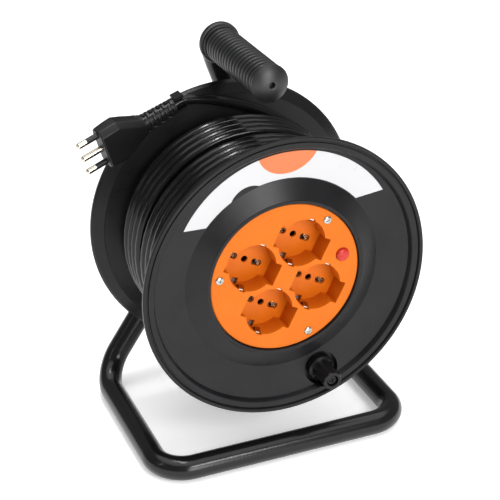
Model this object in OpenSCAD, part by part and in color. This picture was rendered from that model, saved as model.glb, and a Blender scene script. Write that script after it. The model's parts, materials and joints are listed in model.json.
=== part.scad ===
// Extension cord reel. A drum with four earthed sockets turns on a bent steel tube
// that is axle, stand and carrying handle in one piece.
// X runs across the reel, Y from front to back and Z up. The origin lies on the floor
// below the middle of the reel. All sizes are in millimetres.

/* [Drum] */
// Outer diameter of the two flanges
flange_d = 237.5; // [234:0.5:250]
// Width of the drum between its front and rear planes
drum_w = 132; // [124:1:150]
// Distance that the flanges' rims stand out past those planes
rim_proud = 2.2; // [0.5:0.1:2.8]
// Depth from the drum's front or rear plane to the face that the cord lies against
flange_depth = 11.5; // [11:0.5:13]
// Wall of the flange mouldings
flange_wall = 3; // [2:0.25:4]
// Outer diameter of the barrel under the cord
barrel_d = 148; // [146:1:154]
// Wall of the barrel
barrel_wall = 2; // [1.6:0.1:3]
// Wall of the rings that centre the barrel on the flanges
spigot_wall = 2.4; // [1.6:0.1:3]
// Length of the rings that centre the barrel on the flanges
spigot_l = 6; // [4:0.5:8]
// Height of the drum's axis above the floor
hub_h = 164.5; // [150:0.5:190]
// Inner diameter of the raised collar round the socket panel
collar_bore_d = 126.2; // [124:0.2:130]
// Wall of the raised collar
collar_wall = 3.2; // [2:0.1:4]
// Diameter at the foot of the cone outside the collar
cone_d = 161; // [156:1:166]
// Outer diameter of the hub sleeve inside the drum
sleeve_d = 32; // [30:0.5:36]
// Number of ribs on the back of the rear flange
rib_count = 8; // [4:1:12]
// Height of the ribs on the rear flange
rib_h = 3.5; // [2:0.5:6]

/* [Frame] */
// Outer diameter of the frame tube
tube_d = 20; // [18:0.5:22]
// Wall of the frame tube
tube_wall = 1.5; // [1:0.1:2.5]
// Distance between the centres of the two side bars on the floor
stand_w = 214; // [200:1:240]
// Distance from the drum's rear plane back to the foot of the legs
leg_gap = 29; // [28:0.5:40]
// Distance that the legs lean back over the whole height
leg_lean = 10; // [7:0.5:14]
// Bend radius at the feet, the axle and the handle
bend_r = 30; // [26:1:30]
// Bend radius at the front corners of the stand
corner_r = 26; // [22:1:60]
// Height of the handle's axis above the drum's axis
handle_rise = 149.6; // [148:0.2:165]
// Distance from the drum's front plane to the inner end of the axle
axle_start = 58; // [56:1:70]

/* [Handle grip] */
// Diameter over the rings of the grip
grip_d = 29.5; // [28.5:0.5:31]
// Distance from the drum's front plane to the front end of the grip
grip_start = 29; // [20:1:40]
// Number of rings on the grip
grip_rings = 17; // [8:1:24]
// Diameter of the flange at the back end of the grip
grip_flange_d = 34.5; // [34:0.5:37]

/* [Bearings] */
// Running clearance on the radius between a shaft and its bore
run_fit = 0.08; // [0.03:0.01:0.1]
// Clearance between parts that are put together and stay there
set_fit = 0.1; // [0.05:0.01:0.2]
// Gap between faces that pass each other
face_gap = 0.3; // [0.2:0.05:0.5]
// Wall of the two bushes on the axle
bush_wall = 2; // [1.5:0.1:2.5]
// Length of each bush
bush_l = 12; // [8:1:18]
// Thickness of the flanges on the bushes and of the washer
washer_t = 1.5; // [1:0.1:2]
// Diameter of the washer and the collar on the axle
collar_d = 30; // [28:0.5:34]

/* [Socket panel] */
// Diameter of the socket panel
panel_d = 125.2; // [123:0.2:125.8]
// Thickness of the socket panel
panel_t = 3; // [2:0.1:4]
// Distance that the panel sits behind the drum's front plane
panel_inset = 2.9; // [2:0.1:4]
// Distance from the drum's axis to the middle of each socket
socket_ring_r = 30.8; // [30.6:0.1:31]
// Angle of the first socket
socket_angle = 63.5; // [0:0.5:90]
// Diameter of the round part of a socket's well
well_d = 39.5; // [39:0.1:40]
// Length of the straight part of a well, along its pin holes
well_l = 46; // [44:0.5:47]
// Width of the straight part of a well
well_w = 18.5; // [17:0.5:19]
// Depth of the wells
well_depth = 17.6; // [14:0.2:18]
// Wall of the wells
well_wall = 1.8; // [1.4:0.1:1.8]
// Thickness of the wells' floor
well_floor = 2; // [1.5:0.1:3]
// Diameter of the pins that the sockets take
pin_d = 5; // [4:0.1:5]
// Distance between the outer pins of the wide plug
wide_pitch = 26; // [24:0.5:26]
// Distance between the outer pins of the narrow plug
narrow_pitch = 19; // [18:0.5:20]
// Clearance on the radius of the pin holes
pin_fit = 0.25; // [0.15:0.05:0.4]
// Thickness of the contact strips
strip_t = 0.8; // [0.6:0.1:1]
// Width of the contact strips
strip_w = 4.5; // [3.5:0.1:5]
// Distance from the middle of a socket to its spring earth clips
clip_reach = 16.8; // [16:0.1:17.4]
// Length of the contact sleeves behind the wells
sleeve_contact_l = 11; // [8:0.5:12]
// Distance from the drum's axis to the panel's screws
panel_screw_r = 55.8; // [55.5:0.1:56]
// Angle of the first panel screw
panel_screw_angle = 51; // [49:1:53]
// Diameter of the panel screws' heads
panel_head_d = 6.6; // [5:0.1:6.6]
// Depth of the cover behind the contacts
cover_depth = 18.5; // [17:0.5:20]
// Wall of the cover behind the contacts
cover_wall = 1.8; // [1.2:0.1:2]

/* [Overload cut-out] */
// Diameter of the reset button
button_d = 10.8; // [9:0.1:12]
// Distance from the drum's axis to the button
button_r = 49.9; // [49.5:0.1:50.3]
// Angle of the button
button_angle = 12.6; // [12:0.1:13.4]
// Travel of the button
button_travel = 2; // [1:0.1:2.5]
// Height of the button above the panel
button_h = 3.2; // [2:0.1:5]
// Depth of the cut-out behind the panel
cutout_depth = 28; // [22:0.5:32]

/* [Crank knob] */
// Distance from the drum's axis to the knob
knob_r = 97.5; // [96:0.5:98]
// Angle of the knob
knob_angle = 290; // [280:1:300]
// Diameter of the knob's skirt
knob_d = 22; // [20:0.5:24]
// Diameter of the knob's outer end
knob_end_d = 16; // [15:0.5:18]
// Distance that the knob stands out past the drum's front plane
knob_reach = 17; // [12:1:30]
// Diameter of the pocket round the knob's foot
pocket_d = 28.4; // [26:0.2:28.4]
// Distance of the pocket's floor behind the drum's front plane
pocket_floor = 11; // [10:0.5:11]
// Number of flutes round the knob
flute_count = 9; // [5:1:12]
// Diameter of the knob's spindle
spindle_d = 5; // [4:0.5:6]

/* [Screws] */
// Shank diameter of the screws in plastic
screw_d = 3.2; // [2.8:0.1:3.6]
// Head diameter of the screws inside the drum
screw_head_d = 6.4; // [5.6:0.1:7]
// Distance from the drum's axis to the screws that hold the flanges
flange_screw_r = 64; // [63.5:0.1:64.5]
// Outer diameter of the screw bosses
boss_d = 9; // [8:0.1:9]

/* [Cord and plug] */
// Diameter of the cord
cord_d = 8; // [7.4:0.1:8]
// Distance between the front turns of the outer layer
front_pitch = 8.5; // [8.5:0.05:8.7]
// Distance between the rear turns of the outer layer
rear_pitch = 9.5; // [9:0.05:9.6]
// Diameter of the plug's pins
plug_pin_d = 5; // [4:0.1:5]
// Length of the plug's pins
plug_pin_l = 19; // [16:0.5:19]
// Distance between the plug's outer pins
plug_pitch = 26; // [19:0.5:27]
// Length of the insulating sleeves on the outer pins
pin_sleeve_l = 10; // [6:0.5:11]
// Width of the plug's body
plug_w = 38; // [36:0.5:40]
// Thickness of the plug's body
plug_t = 24; // [20:0.5:25]
// Length of the plug's body
plug_l = 38; // [36:0.5:42]
// Length of the strain relief
relief_l = 30; // [26:0.5:32]

/* [Hidden] */

$fn = 96;

flange_r = flange_d / 2;
barrel_r = barrel_d / 2;
barrel_in = barrel_r - barrel_wall;
spigot_r = barrel_in - set_fit;
spigot_in = spigot_r - spigot_wall;
collar_bore_r = collar_bore_d / 2;
collar_r = collar_bore_r + collar_wall;
cone_r = cone_d / 2;
rear_face = drum_w - flange_depth;
rear_back = rear_face + flange_wall;
spigot_y = flange_depth + spigot_l;
boss_r = boss_d / 2;
shank_r = screw_d / 2;
head_r = screw_head_d / 2;
head_h = 2.4;
screw_fit = 0.05;
front_screw_l = 10;
rear_screw_l = 15;
panel_screw_l = 12;
panel_head_h = 1.6;
clamp_screw_l = 12;
cover_screw_grip = 10;
pass_fit = 0.2;

// The rim of a flange: distance in from the edge, and depth behind the rim's front
rim_dish = 5.2;
rim_steps = [
    [9.6, 2], [8.9, 1.2], [4.8, 1.2], [4.4, 2.2], [3.6, 2.2],
    [3.1, 0.6], [2.6, 0], [0.7, 0], [0, 0.7], [0, 2.5], [1.6, 4.4]
];
rim_w = 11;
rim_root = 9.5;
rim_fall = 4.2;
dish_y = flange_depth - flange_wall;
rim_outline = concat(
    [[cone_r + 1, dish_y], [flange_r - rim_w, dish_y - rim_dish]],
    [for (s = rim_steps) [flange_r - s[0], s[1] - rim_proud]],
    [[flange_r - rim_root, flange_depth - rim_fall]],
    [[flange_r - rim_w + 1, flange_depth - rim_fall]],
    [[cone_r + 2, flange_depth]]
);

// The frame tube's centre line
tube_r = tube_d / 2;
tube_in = tube_r - tube_wall;
foot_z = tube_r - hub_h;
stand_l = drum_w + leg_gap;
lean_rate = leg_lean / (handle_rise - foot_z);
axle_corner_y = stand_l - lean_rate * foot_z;
handle_corner_y = stand_l + leg_lean;
grip_cap = 6;
frame_points = [
    [0, axle_start, 0],
    [0, axle_corner_y, 0],
    [-stand_w / 2, stand_l, foot_z],
    [-stand_w / 2, 0, foot_z],
    [stand_w / 2, 0, foot_z],
    [stand_w / 2, stand_l, foot_z],
    [0, handle_corner_y, handle_rise],
    [0, grip_start + grip_cap, handle_rise]
];
frame_bends = [0, bend_r, bend_r, corner_r, corner_r, bend_r, bend_r, 0];
run_into_bend = 1;
bend_thinning = 0.15;

function unit(v) = v / norm(v);
function run_dir(i) = unit(frame_points[i + 1] - frame_points[i]);
function bend_turn(i) = acos(run_dir(i - 1) * run_dir(i));
function bend_cut(i) = frame_bends[i] == 0 ? 0 : frame_bends[i] * tan(bend_turn(i) / 2);

// The rearmost point of the frame, on the bend under the handle
handle_lean = run_dir(5)[1];
back_bend_y = handle_corner_y - bend_cut(6) * handle_lean + bend_r * (1 - sqrt(1 - pow(handle_lean, 2)));
back_y = back_bend_y + tube_r - bend_thinning;

// The bearings on the axle, from front to back
bush_bore = tube_r + run_fit;
bush_r = bush_bore + bush_wall;
bush_seat = bush_r + set_fit;
bush_flange_r = bush_r + 2.4;
sleeve_r = sleeve_d / 2;
sleeve_bore = bush_seat - 0.8;
sleeve_start = axle_start + face_gap + washer_t;
sleeve_end = rear_back + rib_h;
washer_y = sleeve_end + washer_t + face_gap;
collar_y = washer_y + washer_t + set_fit;
collar_end = axle_corner_y - bend_cut(1) - set_fit;
cap_head_t = 3;
cap_stem_l = 8;

// The handle grip
grip_r = grip_d / 2;
grip_groove_r = grip_r - 0.9;
grip_bore = tube_r + set_fit;
grip_flange_r = grip_flange_d / 2;
grip_end = handle_corner_y - bend_cut(6) - set_fit;
grip_flange_w = 5;
grip_neck_w = 3;
grip_ring_start = grip_start + grip_cap + 2;
grip_ring_end = grip_end - grip_flange_w - grip_neck_w - 2;
grip_pitch = (grip_ring_end - grip_ring_start) / grip_rings;

// The information label on the front flange's dished face
label_t = 0.3;
label_foot = 2;
label_gap = 1.25;
label_low = 50;
label_mid = 40;
label_side = 90;
label_left_rise = 6;
label_right_rise = 11.9;
label_centre = [1.6, 11.2];
label_r = 94.9;
label_bite = [-27, 65];
label_bite_r = 16.6;

// The socket panel and what lies behind it
panel_r = panel_d / 2;
panel_back = panel_inset + panel_t;
ledge_w = 4.6;
ledge_in = panel_r - ledge_w;
ledge_t = 3;
panel_boss_r = 3.6;
panel_boss_l = 11;
panel_head_r = panel_head_d / 2;
panel_shank_r = 1.45;
floor_y = panel_inset + well_depth;
floor_back = floor_y + well_floor;
deck_r = 24;
centre_boss_r = 3.6;
pin_hole_r = pin_d / 2 + pin_fit;
clip_slot_w = strip_w + 0.6;
clip_slot_out = well_d / 2 + well_wall - 0.85;
clip_back = clip_slot_out - strip_t - 0.4;
line_x = (narrow_pitch + wide_pitch) / 4;
bus_offset = 7;
neutral_extra = 3;
cover_back = floor_back + cover_depth;
cover_in_y = cover_back - cover_wall;
post_r = 4;

// The cord's way into the drum, square to the pin holes
clamp_x = 34.5;
clamp_z = 33.5;
clamp_y = 30;
clamp_w = 10;
clamp_t = 6;
clamp_pitch = 13.6;
clamp_head_r = 2.6;
inlet_x = [20, 44];
inlet_z = [19, 39];

// The overload cut-out
button_head_r = button_d / 2;
stem_r = 3;
stem_l = 13.5;
button_face = panel_inset - button_h;
button_back = panel_back + set_fit;
cutout_in = 9;
cutout_out = 5.5;
tab_l = 8;

// The crank knob
knob_skirt_r = knob_d / 2;
knob_end_r = knob_end_d / 2;
spindle_r = spindle_d / 2;
pocket_r = pocket_d / 2;
pocket_wall = 2.3;
spindle_boss_r = 4;
spindle_boss_y = pocket_floor - 6;
spindle_thread_r = spindle_r - 0.6;
spindle_head_r = 4.4;
spindle_head_t = 2.6;
knob_recess = 4.5;

// The cord on the drum: its outer layer winds over the layers below
cord_r = cord_d / 2;
layer_r = barrel_r + 2.5 * cord_d;
loop_rings = 24;
wind_from = 0;
wind_to = 3655;
first_turn_y = 19;
front_turns = 5;
crossing = 16;
wind_steps = round((wind_to - wind_from) * loop_rings / 360);
core_r = layer_r * cos(180 / loop_rings) - cord_r - set_fit;
core_from = flange_depth + 4;
core_to = rear_face - 4;

function turn_rest(u) = crossing + (u - front_turns - 1) * rear_pitch;
function turn_late(u) = u <= front_turns + 1 ? (u - front_turns) * crossing : turn_rest(u);
function turn_shift(u) = u <= front_turns ? u * front_pitch : front_turns * front_pitch + turn_late(u);
function turn_y(a) = first_turn_y + turn_shift((a - 90) / 360);
function wind_point(a) = [layer_r * cos(a), turn_y(a), layer_r * sin(a)];
function wind_dir(a) = [-sin(a), 0, cos(a)];

wind_line = [for (i = [0 : wind_steps]) wind_point(wind_from + (wind_to - wind_from) * i / wind_steps)];
wind_begin = wind_line[0] - cord_d * wind_dir(wind_from);
wind_end = wind_line[wind_steps] + cord_d * wind_dir(wind_to);
wind_path = concat([wind_begin], wind_line, [wind_end]);
wind_gap = min([
    for (i = [0 : wind_steps], j = [i + loop_rings / 2 : 1 : wind_steps])
        norm(wind_line[j] - wind_line[i]) - cord_d
]);
echo(least_gap_between_turns = wind_gap);

// The plug, parked beside the rim, and the free lead from the last turn to it
relief_end = [-48.41, 115.51, 110.14];
plug_turn = [-7, 19, 188.5];
plug_dir = [
    cos(plug_turn[2]) * cos(plug_turn[1]),
    sin(plug_turn[2]) * cos(plug_turn[1]),
    -sin(plug_turn[1])
];
plug_at = relief_end + (plug_l + relief_l) * plug_dir;
lead_points = [
    [38, 115, 87.9],
    [28, 115.2, 94],
    [16, 115.4, 99.6],
    [2, 115.6, 104.6],
    [-12, 116, 108.9],
    [-25, 116.4, 112],
    [-33.5, 116.8, 113]
];
lead_start = [wind_end, wind_end + 3 * wind_dir(wind_to)];
lead_path = concat(lead_start, lead_points, [relief_end - cord_d * plug_dir, relief_end]);

// The cord's inner end: out of the clamp and round onto the barrel through its slot
tail_to = 95.6;
tail_y = 23;
tail_ring_r = barrel_r + cord_r;
tail_bend_r = (clamp_x - tail_ring_r * cos(tail_to)) / (1 - cos(tail_to));
tail_bend_z = (tail_ring_r - tail_bend_r) * sin(tail_to);
tail_steps = 8;
function tail_point(s) = [
    clamp_x - tail_bend_r * (1 - cos(s * tail_to)),
    clamp_y + (tail_y - clamp_y) * s * s * (3 - 2 * s),
    tail_bend_z + tail_bend_r * sin(s * tail_to)
];
tail_points = concat(
    [[clamp_x, clamp_y, inlet_z[0] + 0.5], [clamp_x, clamp_y, inlet_z[0] + 10]],
    [for (i = [0 : tail_steps]) tail_point(i / tail_steps)]
);
slot_from = 63;
slot_to = 98;
slot_y = [18.5, 33.5];

// The clip on the rear rim that holds the lead
clip_angle = 111.1;
clip_out = 1.35;
clip_r = flange_r + clip_out;
clip_w = 8;
clip_front = 112;
clip_base_y = 120.9;
clip_base_t = 2.6;
clip_jaw = 2.2;
clip_gap = cord_r + face_gap;

// The plug's details
plug_pin_r = plug_pin_d / 2;
pin_root = 12;
pin_neck_r = plug_pin_r - 0.25;
pin_tip = 1;
sleeve_core_r = plug_pin_r - 0.55;
insert_w = 33;
insert_t = 15;
insert_depth = 1.5;
insert_proud = 0.5;
neck_end = insert_proud + 0.5;
relief_ribs = 8;
relief_big_r = 7;
relief_small_r = 5.4;

black = [0.13, 0.13, 0.14];
dark = [0.2, 0.2, 0.21];
orange = [0.94, 0.45, 0.1];
steel = [0.75, 0.76, 0.78];
brass = [0.8, 0.65, 0.3];

// Puts the drum's axis at its height and the origin below the middle of the reel
module place() {
    translate([0, (knob_reach - back_y) / 2, hub_h]) children();
}

// A solid of revolution about the drum's axis, from [radius, depth] points
module turned(points) {
    rotate([90, 0, 0]) rotate_extrude() polygon([for (p = points) [p[0], -p[1]]]);
}

// A flat outline, seen from the front, between two depths
module facing(from, to) {
    translate([0, to, 0]) rotate([90, 0, 0]) linear_extrude(to - from) children();
}

// A round post along the drum's axis between two depths
module post(r, from, to) {
    translate([0, to, 0]) rotate([90, 0, 0]) cylinder(h = to - from, r = r);
}

// Turns the part so that X points away from the axis at this angle
module at_angle(a) {
    rotate([0, -a, 0]) children();
}

// X along the pin holes, Z square to them
module panel_frame() {
    rotate([0, 90 - socket_angle, 0]) children();
}

module at_socket(i) {
    at_angle(socket_angle + 90 * i)
        translate([socket_ring_r, 0, 0])
            rotate([0, 90 * i + 90, 0]) children();
}

// The quarter that the cord comes in through
module inlet_frame() {
    panel_frame() rotate([0, 180, 0]) children();
}

function inlet_turn(p) = let (a = socket_angle + 90) [
    p[0] * cos(a) - p[2] * sin(a), p[1], p[0] * sin(a) + p[2] * cos(a)
];

// Screw with its head in front of depth 0 and its shank behind it
module screw(head, height, shank, length) {
    difference() {
        turned([
            [0, -height], [head * 0.55, -height], [head * 0.9, -height * 0.6],
            [head, -height * 0.25], [head, 0], [shank, 0],
            [shank, length - shank], [shank * 0.3, length], [0, length]
        ]);
        for (turn = [0, 90])
            at_angle(turn)
                translate([-head * 0.55, -height - 1, -head * 0.11])
                    cube([head * 1.1, 1 + height * 0.45, head * 0.22]);
    }
}

module flange_places() {
    for (i = [0 : 3])
        at_angle(socket_angle - 45 + 90 * i) translate([flange_screw_r, 0, 0]) children();
}

module panel_screw_places() {
    for (i = [0 : 2])
        at_angle(panel_screw_angle + 120 * i) translate([panel_screw_r, 0, 0]) children();
}

module button_place() {
    at_angle(button_angle) translate([button_r, 0, 0]) children();
}

module knob_place() {
    at_angle(knob_angle) translate([knob_r, 0, 0]) children();
}

// Points of a tube swept along a path, and the triangles between its rings
function path_dir(path, i) = unit(path[min(i + 1, len(path) - 1)] - path[max(i - 1, 0)]);
function side_dir(d) = unit(cross(d, [0, 1, 0]));
function ring_points(c, d, r, sides) = let (s = side_dir(d), u = cross(s, d)) [
    for (k = [0 : sides - 1]) c + r * (cos(360 * k / sides) * s + sin(360 * k / sides) * u)
];
function wall_faces(rings, sides) = [
    for (i = [0 : rings - 2], k = [0 : sides - 1], half = [0, 1])
        let (a = i * sides + k, b = i * sides + (k + 1) % sides)
            half == 0 ? [a, b, b + sides] : [a, b + sides, a + sides]
];
function end_faces(rings, sides) = let (last = (rings - 1) * sides) concat(
    [for (k = [1 : sides - 2]) [0, k + 1, k]],
    [for (k = [1 : sides - 2]) [last, last + k, last + k + 1]]
);

module swept(path, r, sides) {
    rings = len(path);
    polyhedron(
        points = [for (i = [0 : rings - 1]) each ring_points(path[i], path_dir(path, i), r, sides)],
        faces = concat(wall_faces(rings, sides), end_faces(rings, sides))
    );
}

// A straight run of the frame tube
module tube_run(from, to, r) {
    d = unit(to - from);
    translate(from)
        rotate([0, acos(d[2]), atan2(d[1], d[0])])
            cylinder(h = norm(to - from), r = r);
}

// A bend of the frame tube at one corner of its centre line
module tube_bend(i, r) {
    u = run_dir(i - 1);
    v = run_dir(i);
    inward = unit(v - (v * u) * u);
    centre = frame_points[i] - bend_cut(i) * u + frame_bends[i] * inward;
    w = cross(-inward, u);
    multmatrix([
        [-inward[0], u[0], w[0], centre[0]],
        [-inward[1], u[1], w[1], centre[1]],
        [-inward[2], u[2], w[2], centre[2]],
        [0, 0, 0, 1]
    ])
        rotate_extrude(angle = bend_turn(i)) translate([frame_bends[i], 0]) circle(r = r);
}

// The straight runs go on a little way into the bends, which are a hair thinner
module frame_sweep(r, extra) {
    last = len(frame_points) - 2;
    for (i = [0 : last])
        tube_run(
            frame_points[i] + (bend_cut(i) - (i == 0 ? extra : run_into_bend)) * run_dir(i),
            frame_points[i + 1] - (bend_cut(i + 1) - (i == last ? extra : run_into_bend)) * run_dir(i),
            r
        );
    for (i = [1 : last]) tube_bend(i, r - bend_thinning);
}

module frame_tube() color(black) place() {
    difference() {
        frame_sweep(tube_r, 0);
        frame_sweep(tube_in, 1);
    }
}

module handle_grip() color(black) place() {
    cap_r = grip_r + 0.4;
    dome = [
        for (t = [8 : 10 : 88])
            [cap_r * sin(t), grip_start + grip_cap * (1 - cos(t))]
    ];
    rings = [
        for (i = [0 : grip_rings - 1], s = [[0.12, 0], [0.3, 1], [0.6, 1], [0.78, 0]])
            [s[1] == 1 ? grip_r : grip_groove_r, grip_ring_start + (i + s[0]) * grip_pitch]
    ];
    neck_y = grip_end - grip_flange_w - grip_neck_w;
    translate([0, 0, handle_rise]) turned(concat(
        [[dome[0][0], grip_start + grip_cap - 0.5]],
        dome,
        [[cap_r, grip_ring_start - 0.5], [grip_groove_r, grip_ring_start - 0.5]],
        rings,
        [[grip_groove_r, neck_y], [grip_r + 1, neck_y + 0.8]],
        [[grip_r + 1, grip_end - grip_flange_w - 0.8], [grip_groove_r + 0.6, grip_end - grip_flange_w]],
        [[grip_flange_r - 0.8, grip_end - grip_flange_w], [grip_flange_r, grip_end - grip_flange_w + 0.8]],
        [[grip_flange_r, grip_end - 0.8], [grip_flange_r - 0.8, grip_end]],
        [[grip_bore, grip_end], [grip_bore, grip_start + grip_cap - 0.5]]
    ));
}

module axle_collar() color(steel) place() {
    turned([
        [tube_r + set_fit, collar_y], [collar_d / 2, collar_y],
        [collar_d / 2, collar_end - 0.8], [collar_d / 2 - 0.8, collar_end],
        [tube_r + set_fit, collar_end]
    ]);
}

module thrust_washer() color(steel) place() {
    difference() {
        post(collar_d / 2, washer_y, washer_y + washer_t);
        post(tube_r + set_fit, washer_y - 1, washer_y + washer_t + 1);
    }
}

module retaining_cap() color(dark) place() {
    turned([
        [0, axle_start - cap_head_t], [bush_flange_r - 1.5, axle_start - cap_head_t],
        [bush_flange_r - 0.5, axle_start - cap_head_t + 1], [bush_flange_r - 0.5, axle_start],
        [tube_in - set_fit, axle_start], [tube_in - set_fit, axle_start + cap_stem_l - 1],
        [tube_in - 1.5, axle_start + cap_stem_l], [0, axle_start + cap_stem_l]
    ]);
}

module bush() {
    turned([
        [bush_bore, -washer_t], [bush_flange_r, -washer_t], [bush_flange_r, 0],
        [bush_r, 0], [bush_r, bush_l], [bush_bore, bush_l]
    ]);
}

module hub_bush_front() color("ivory") place() {
    translate([0, sleeve_start, 0]) bush();
}

module hub_bush_rear() color("ivory") place() {
    translate([0, sleeve_end, 0]) mirror([0, 1, 0]) bush();
}

module front_flange() color(black) place() {
    difference() {
        union() {
            difference() {
                union() {
                    turned(concat(
                        [[ledge_in, panel_back], [collar_bore_r, panel_back]],
                        [[collar_bore_r, 1.5], [collar_bore_r + 0.5, 1]],
                        [[collar_r - 0.5, 1], [collar_r, 1.4]],
                        rim_outline,
                        [[spigot_r, flange_depth], [spigot_r, spigot_y], [spigot_in, spigot_y]],
                        [[spigot_in, panel_back + ledge_t], [ledge_in, panel_back + ledge_t]]
                    ));
                    intersection() {
                        knob_place() post(pocket_r + pocket_wall, 0, pocket_floor + pocket_wall);
                        turned([
                            [cone_r - 4, dish_y + 0.7], [flange_r - rim_w, dish_y - rim_dish + 0.7],
                            [flange_r - 3, 1], [flange_r - 3, 16], [cone_r - 4, 16]
                        ]);
                    }
                    panel_screw_places() post(panel_boss_r, panel_back + 1, panel_back + panel_boss_l);
                    flange_places() post(boss_r, panel_back + 1, spigot_y);
                }
                knob_place() post(pocket_r, -5, pocket_floor);
            }
            knob_place() post(spindle_boss_r, spindle_boss_y, pocket_floor + pocket_wall);
        }
        knob_place() post(spindle_thread_r + screw_fit, 0, pocket_floor + pocket_wall - 0.8);
        panel_screw_places() post(panel_shank_r + screw_fit, 0, panel_back + panel_boss_l - 1);
        flange_places() post(shank_r + screw_fit, spigot_y - 8, spigot_y + 1);
    }
}

// The last three millimetres of a web run into the barrel's wall
module barrel_boss(from, to, web_to, web_w) {
    post(boss_r, from, to);
    translate([0, from, -web_w / 2])
        cube([barrel_in + 0.5 - flange_screw_r, web_to - from, web_w]);
}

// A sheet on the dished face, with its outer edge round a centre of its own
module info_label() color("white") place() {
    fall = rim_dish / (flange_r - rim_w - cone_r - 1);
    seat = dish_y - set_fit;
    from = cone_r + label_foot;
    to = flange_r - rim_w - label_gap;
    intersection() {
        turned([for (p = [[from, 0], [to, 0], [to, label_t], [from, label_t]])
            [p[0], seat - (p[0] - cone_r - 1) * fall - p[1]]]);
        facing(-2, dish_y + 1) difference() {
            intersection() {
                translate(label_centre) circle(r = label_r, $fn = 192);
                polygon([
                    [-label_side, label_low + label_left_rise], [-label_mid, label_low + label_t],
                    [label_mid, label_low], [label_side, label_low + label_right_rise],
                    [label_side, flange_r], [-label_side, flange_r]
                ]);
            }
            translate(label_bite) circle(r = label_bite_r);
        }
    }
}

module drum_barrel() color(dark) place() {
    ear_t = 3;
    boss_l = 24;
    difference() {
        union() {
            difference() {
                post(barrel_r, flange_depth, rear_face);
                post(barrel_in, flange_depth - 1, rear_face + 1);
            }
            flange_places() barrel_boss(spigot_y, spigot_y + ear_t, spigot_y + ear_t, boss_r);
            flange_places() barrel_boss(
                rear_face - boss_l, rear_face, rear_face - spigot_l - face_gap, spigot_wall
            );
        }
        flange_places() post(shank_r + pass_fit, spigot_y - 1, spigot_y + ear_t + 1);
        flange_places() post(shank_r + screw_fit, rear_face - 14, rear_face + 1);
        inlet_frame()
            translate([0, slot_y[1], 0])
                rotate([90, 0, 0])
                    rotate([0, 0, slot_from])
                        rotate_extrude(angle = slot_to - slot_from)
                            translate([barrel_in - 1, 0])
                                square([barrel_wall + 2, slot_y[1] - slot_y[0]]);
    }
}

module lead_clip() {
    at_angle(clip_angle) translate([0, 0, -clip_w / 2]) {
        base_in = clip_r - clip_gap - clip_jaw;
        base_out = clip_r + clip_gap + clip_jaw;
        translate([base_in, clip_base_y, 0]) cube([base_out - base_in, clip_base_t, clip_w]);
        translate([base_in, clip_front, 0]) cube([clip_jaw, clip_base_y - clip_front, clip_w]);
        translate([base_out - clip_jaw, clip_front, 0])
            cube([clip_jaw, clip_base_y - clip_front, clip_w]);
        translate([base_in, clip_base_y, clip_w / 2 - 1.5])
            cube([flange_r - 1 - base_in, drum_w - 1 - clip_base_y, 3]);
    }
}

module rear_flange() color(black) place() {
    rib_w = 2.4;
    difference() {
        union() {
            turned(concat(
                [[sleeve_bore, sleeve_start + bush_l], [bush_seat, sleeve_start + bush_l]],
                [[bush_seat, sleeve_start], [sleeve_r, sleeve_start], [sleeve_r, rear_face]],
                [[spigot_in, rear_face], [spigot_in, rear_face - spigot_l]],
                [[spigot_r, rear_face - spigot_l], [spigot_r, rear_face]],
                [for (i = [len(rim_outline) - 1 : -1 : 0]) [rim_outline[i][0], drum_w - rim_outline[i][1]]],
                [[cone_r + 1, sleeve_end], [cone_r - 1.4, sleeve_end], [cone_r - 1.4, rear_back]],
                [[sleeve_r, rear_back], [sleeve_r, sleeve_end], [bush_seat, sleeve_end]],
                [[bush_seat, sleeve_end - bush_l], [sleeve_bore, sleeve_end - bush_l]]
            ));
            for (i = [0 : rib_count - 1])
                at_angle(socket_angle - 22.5 + 360 * i / rib_count)
                    translate([sleeve_r - 1, rear_back - 0.5, -rib_w / 2])
                        cube([cone_r - sleeve_r, rib_h + 0.5, rib_w]);
            lead_clip();
        }
        flange_places() post(shank_r + pass_fit, rear_face - 1, rear_back + 1);
    }
}

module front_screws() color(steel) place() {
    flange_places()
        translate([0, spigot_y + 3, 0])
            mirror([0, 1, 0]) screw(head_r, head_h, shank_r, front_screw_l);
}

module rear_screws() color(steel) place() {
    flange_places()
        translate([0, rear_back, 0])
            mirror([0, 1, 0]) screw(head_r, head_h, shank_r, rear_screw_l);
}

module well_outline(grow) {
    circle(d = well_d + 2 * grow);
    square([well_l + 2 * grow, well_w + 2 * grow], center = true);
}

// The two round holes of one pin, which run into each other
module pin_slot(r) {
    translate([narrow_pitch / 2, 0]) circle(r = r);
    translate([wide_pitch / 2, 0]) circle(r = r);
}

module clip_slots() {
    for (s = [-1, 1])
        translate([-clip_slot_w / 2, s > 0 ? clip_reach - 0.3 : -clip_slot_out])
            square([clip_slot_w, clip_slot_out - clip_reach + 0.3]);
}

// The outline of the four wells and the deck between them
module wells_outline(grow, deck) {
    for (i = [0 : 3])
        rotate(socket_angle + 90 * i)
            translate([socket_ring_r, 0]) rotate(-90 * i - 90) well_outline(grow);
    circle(r = deck);
}

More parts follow.
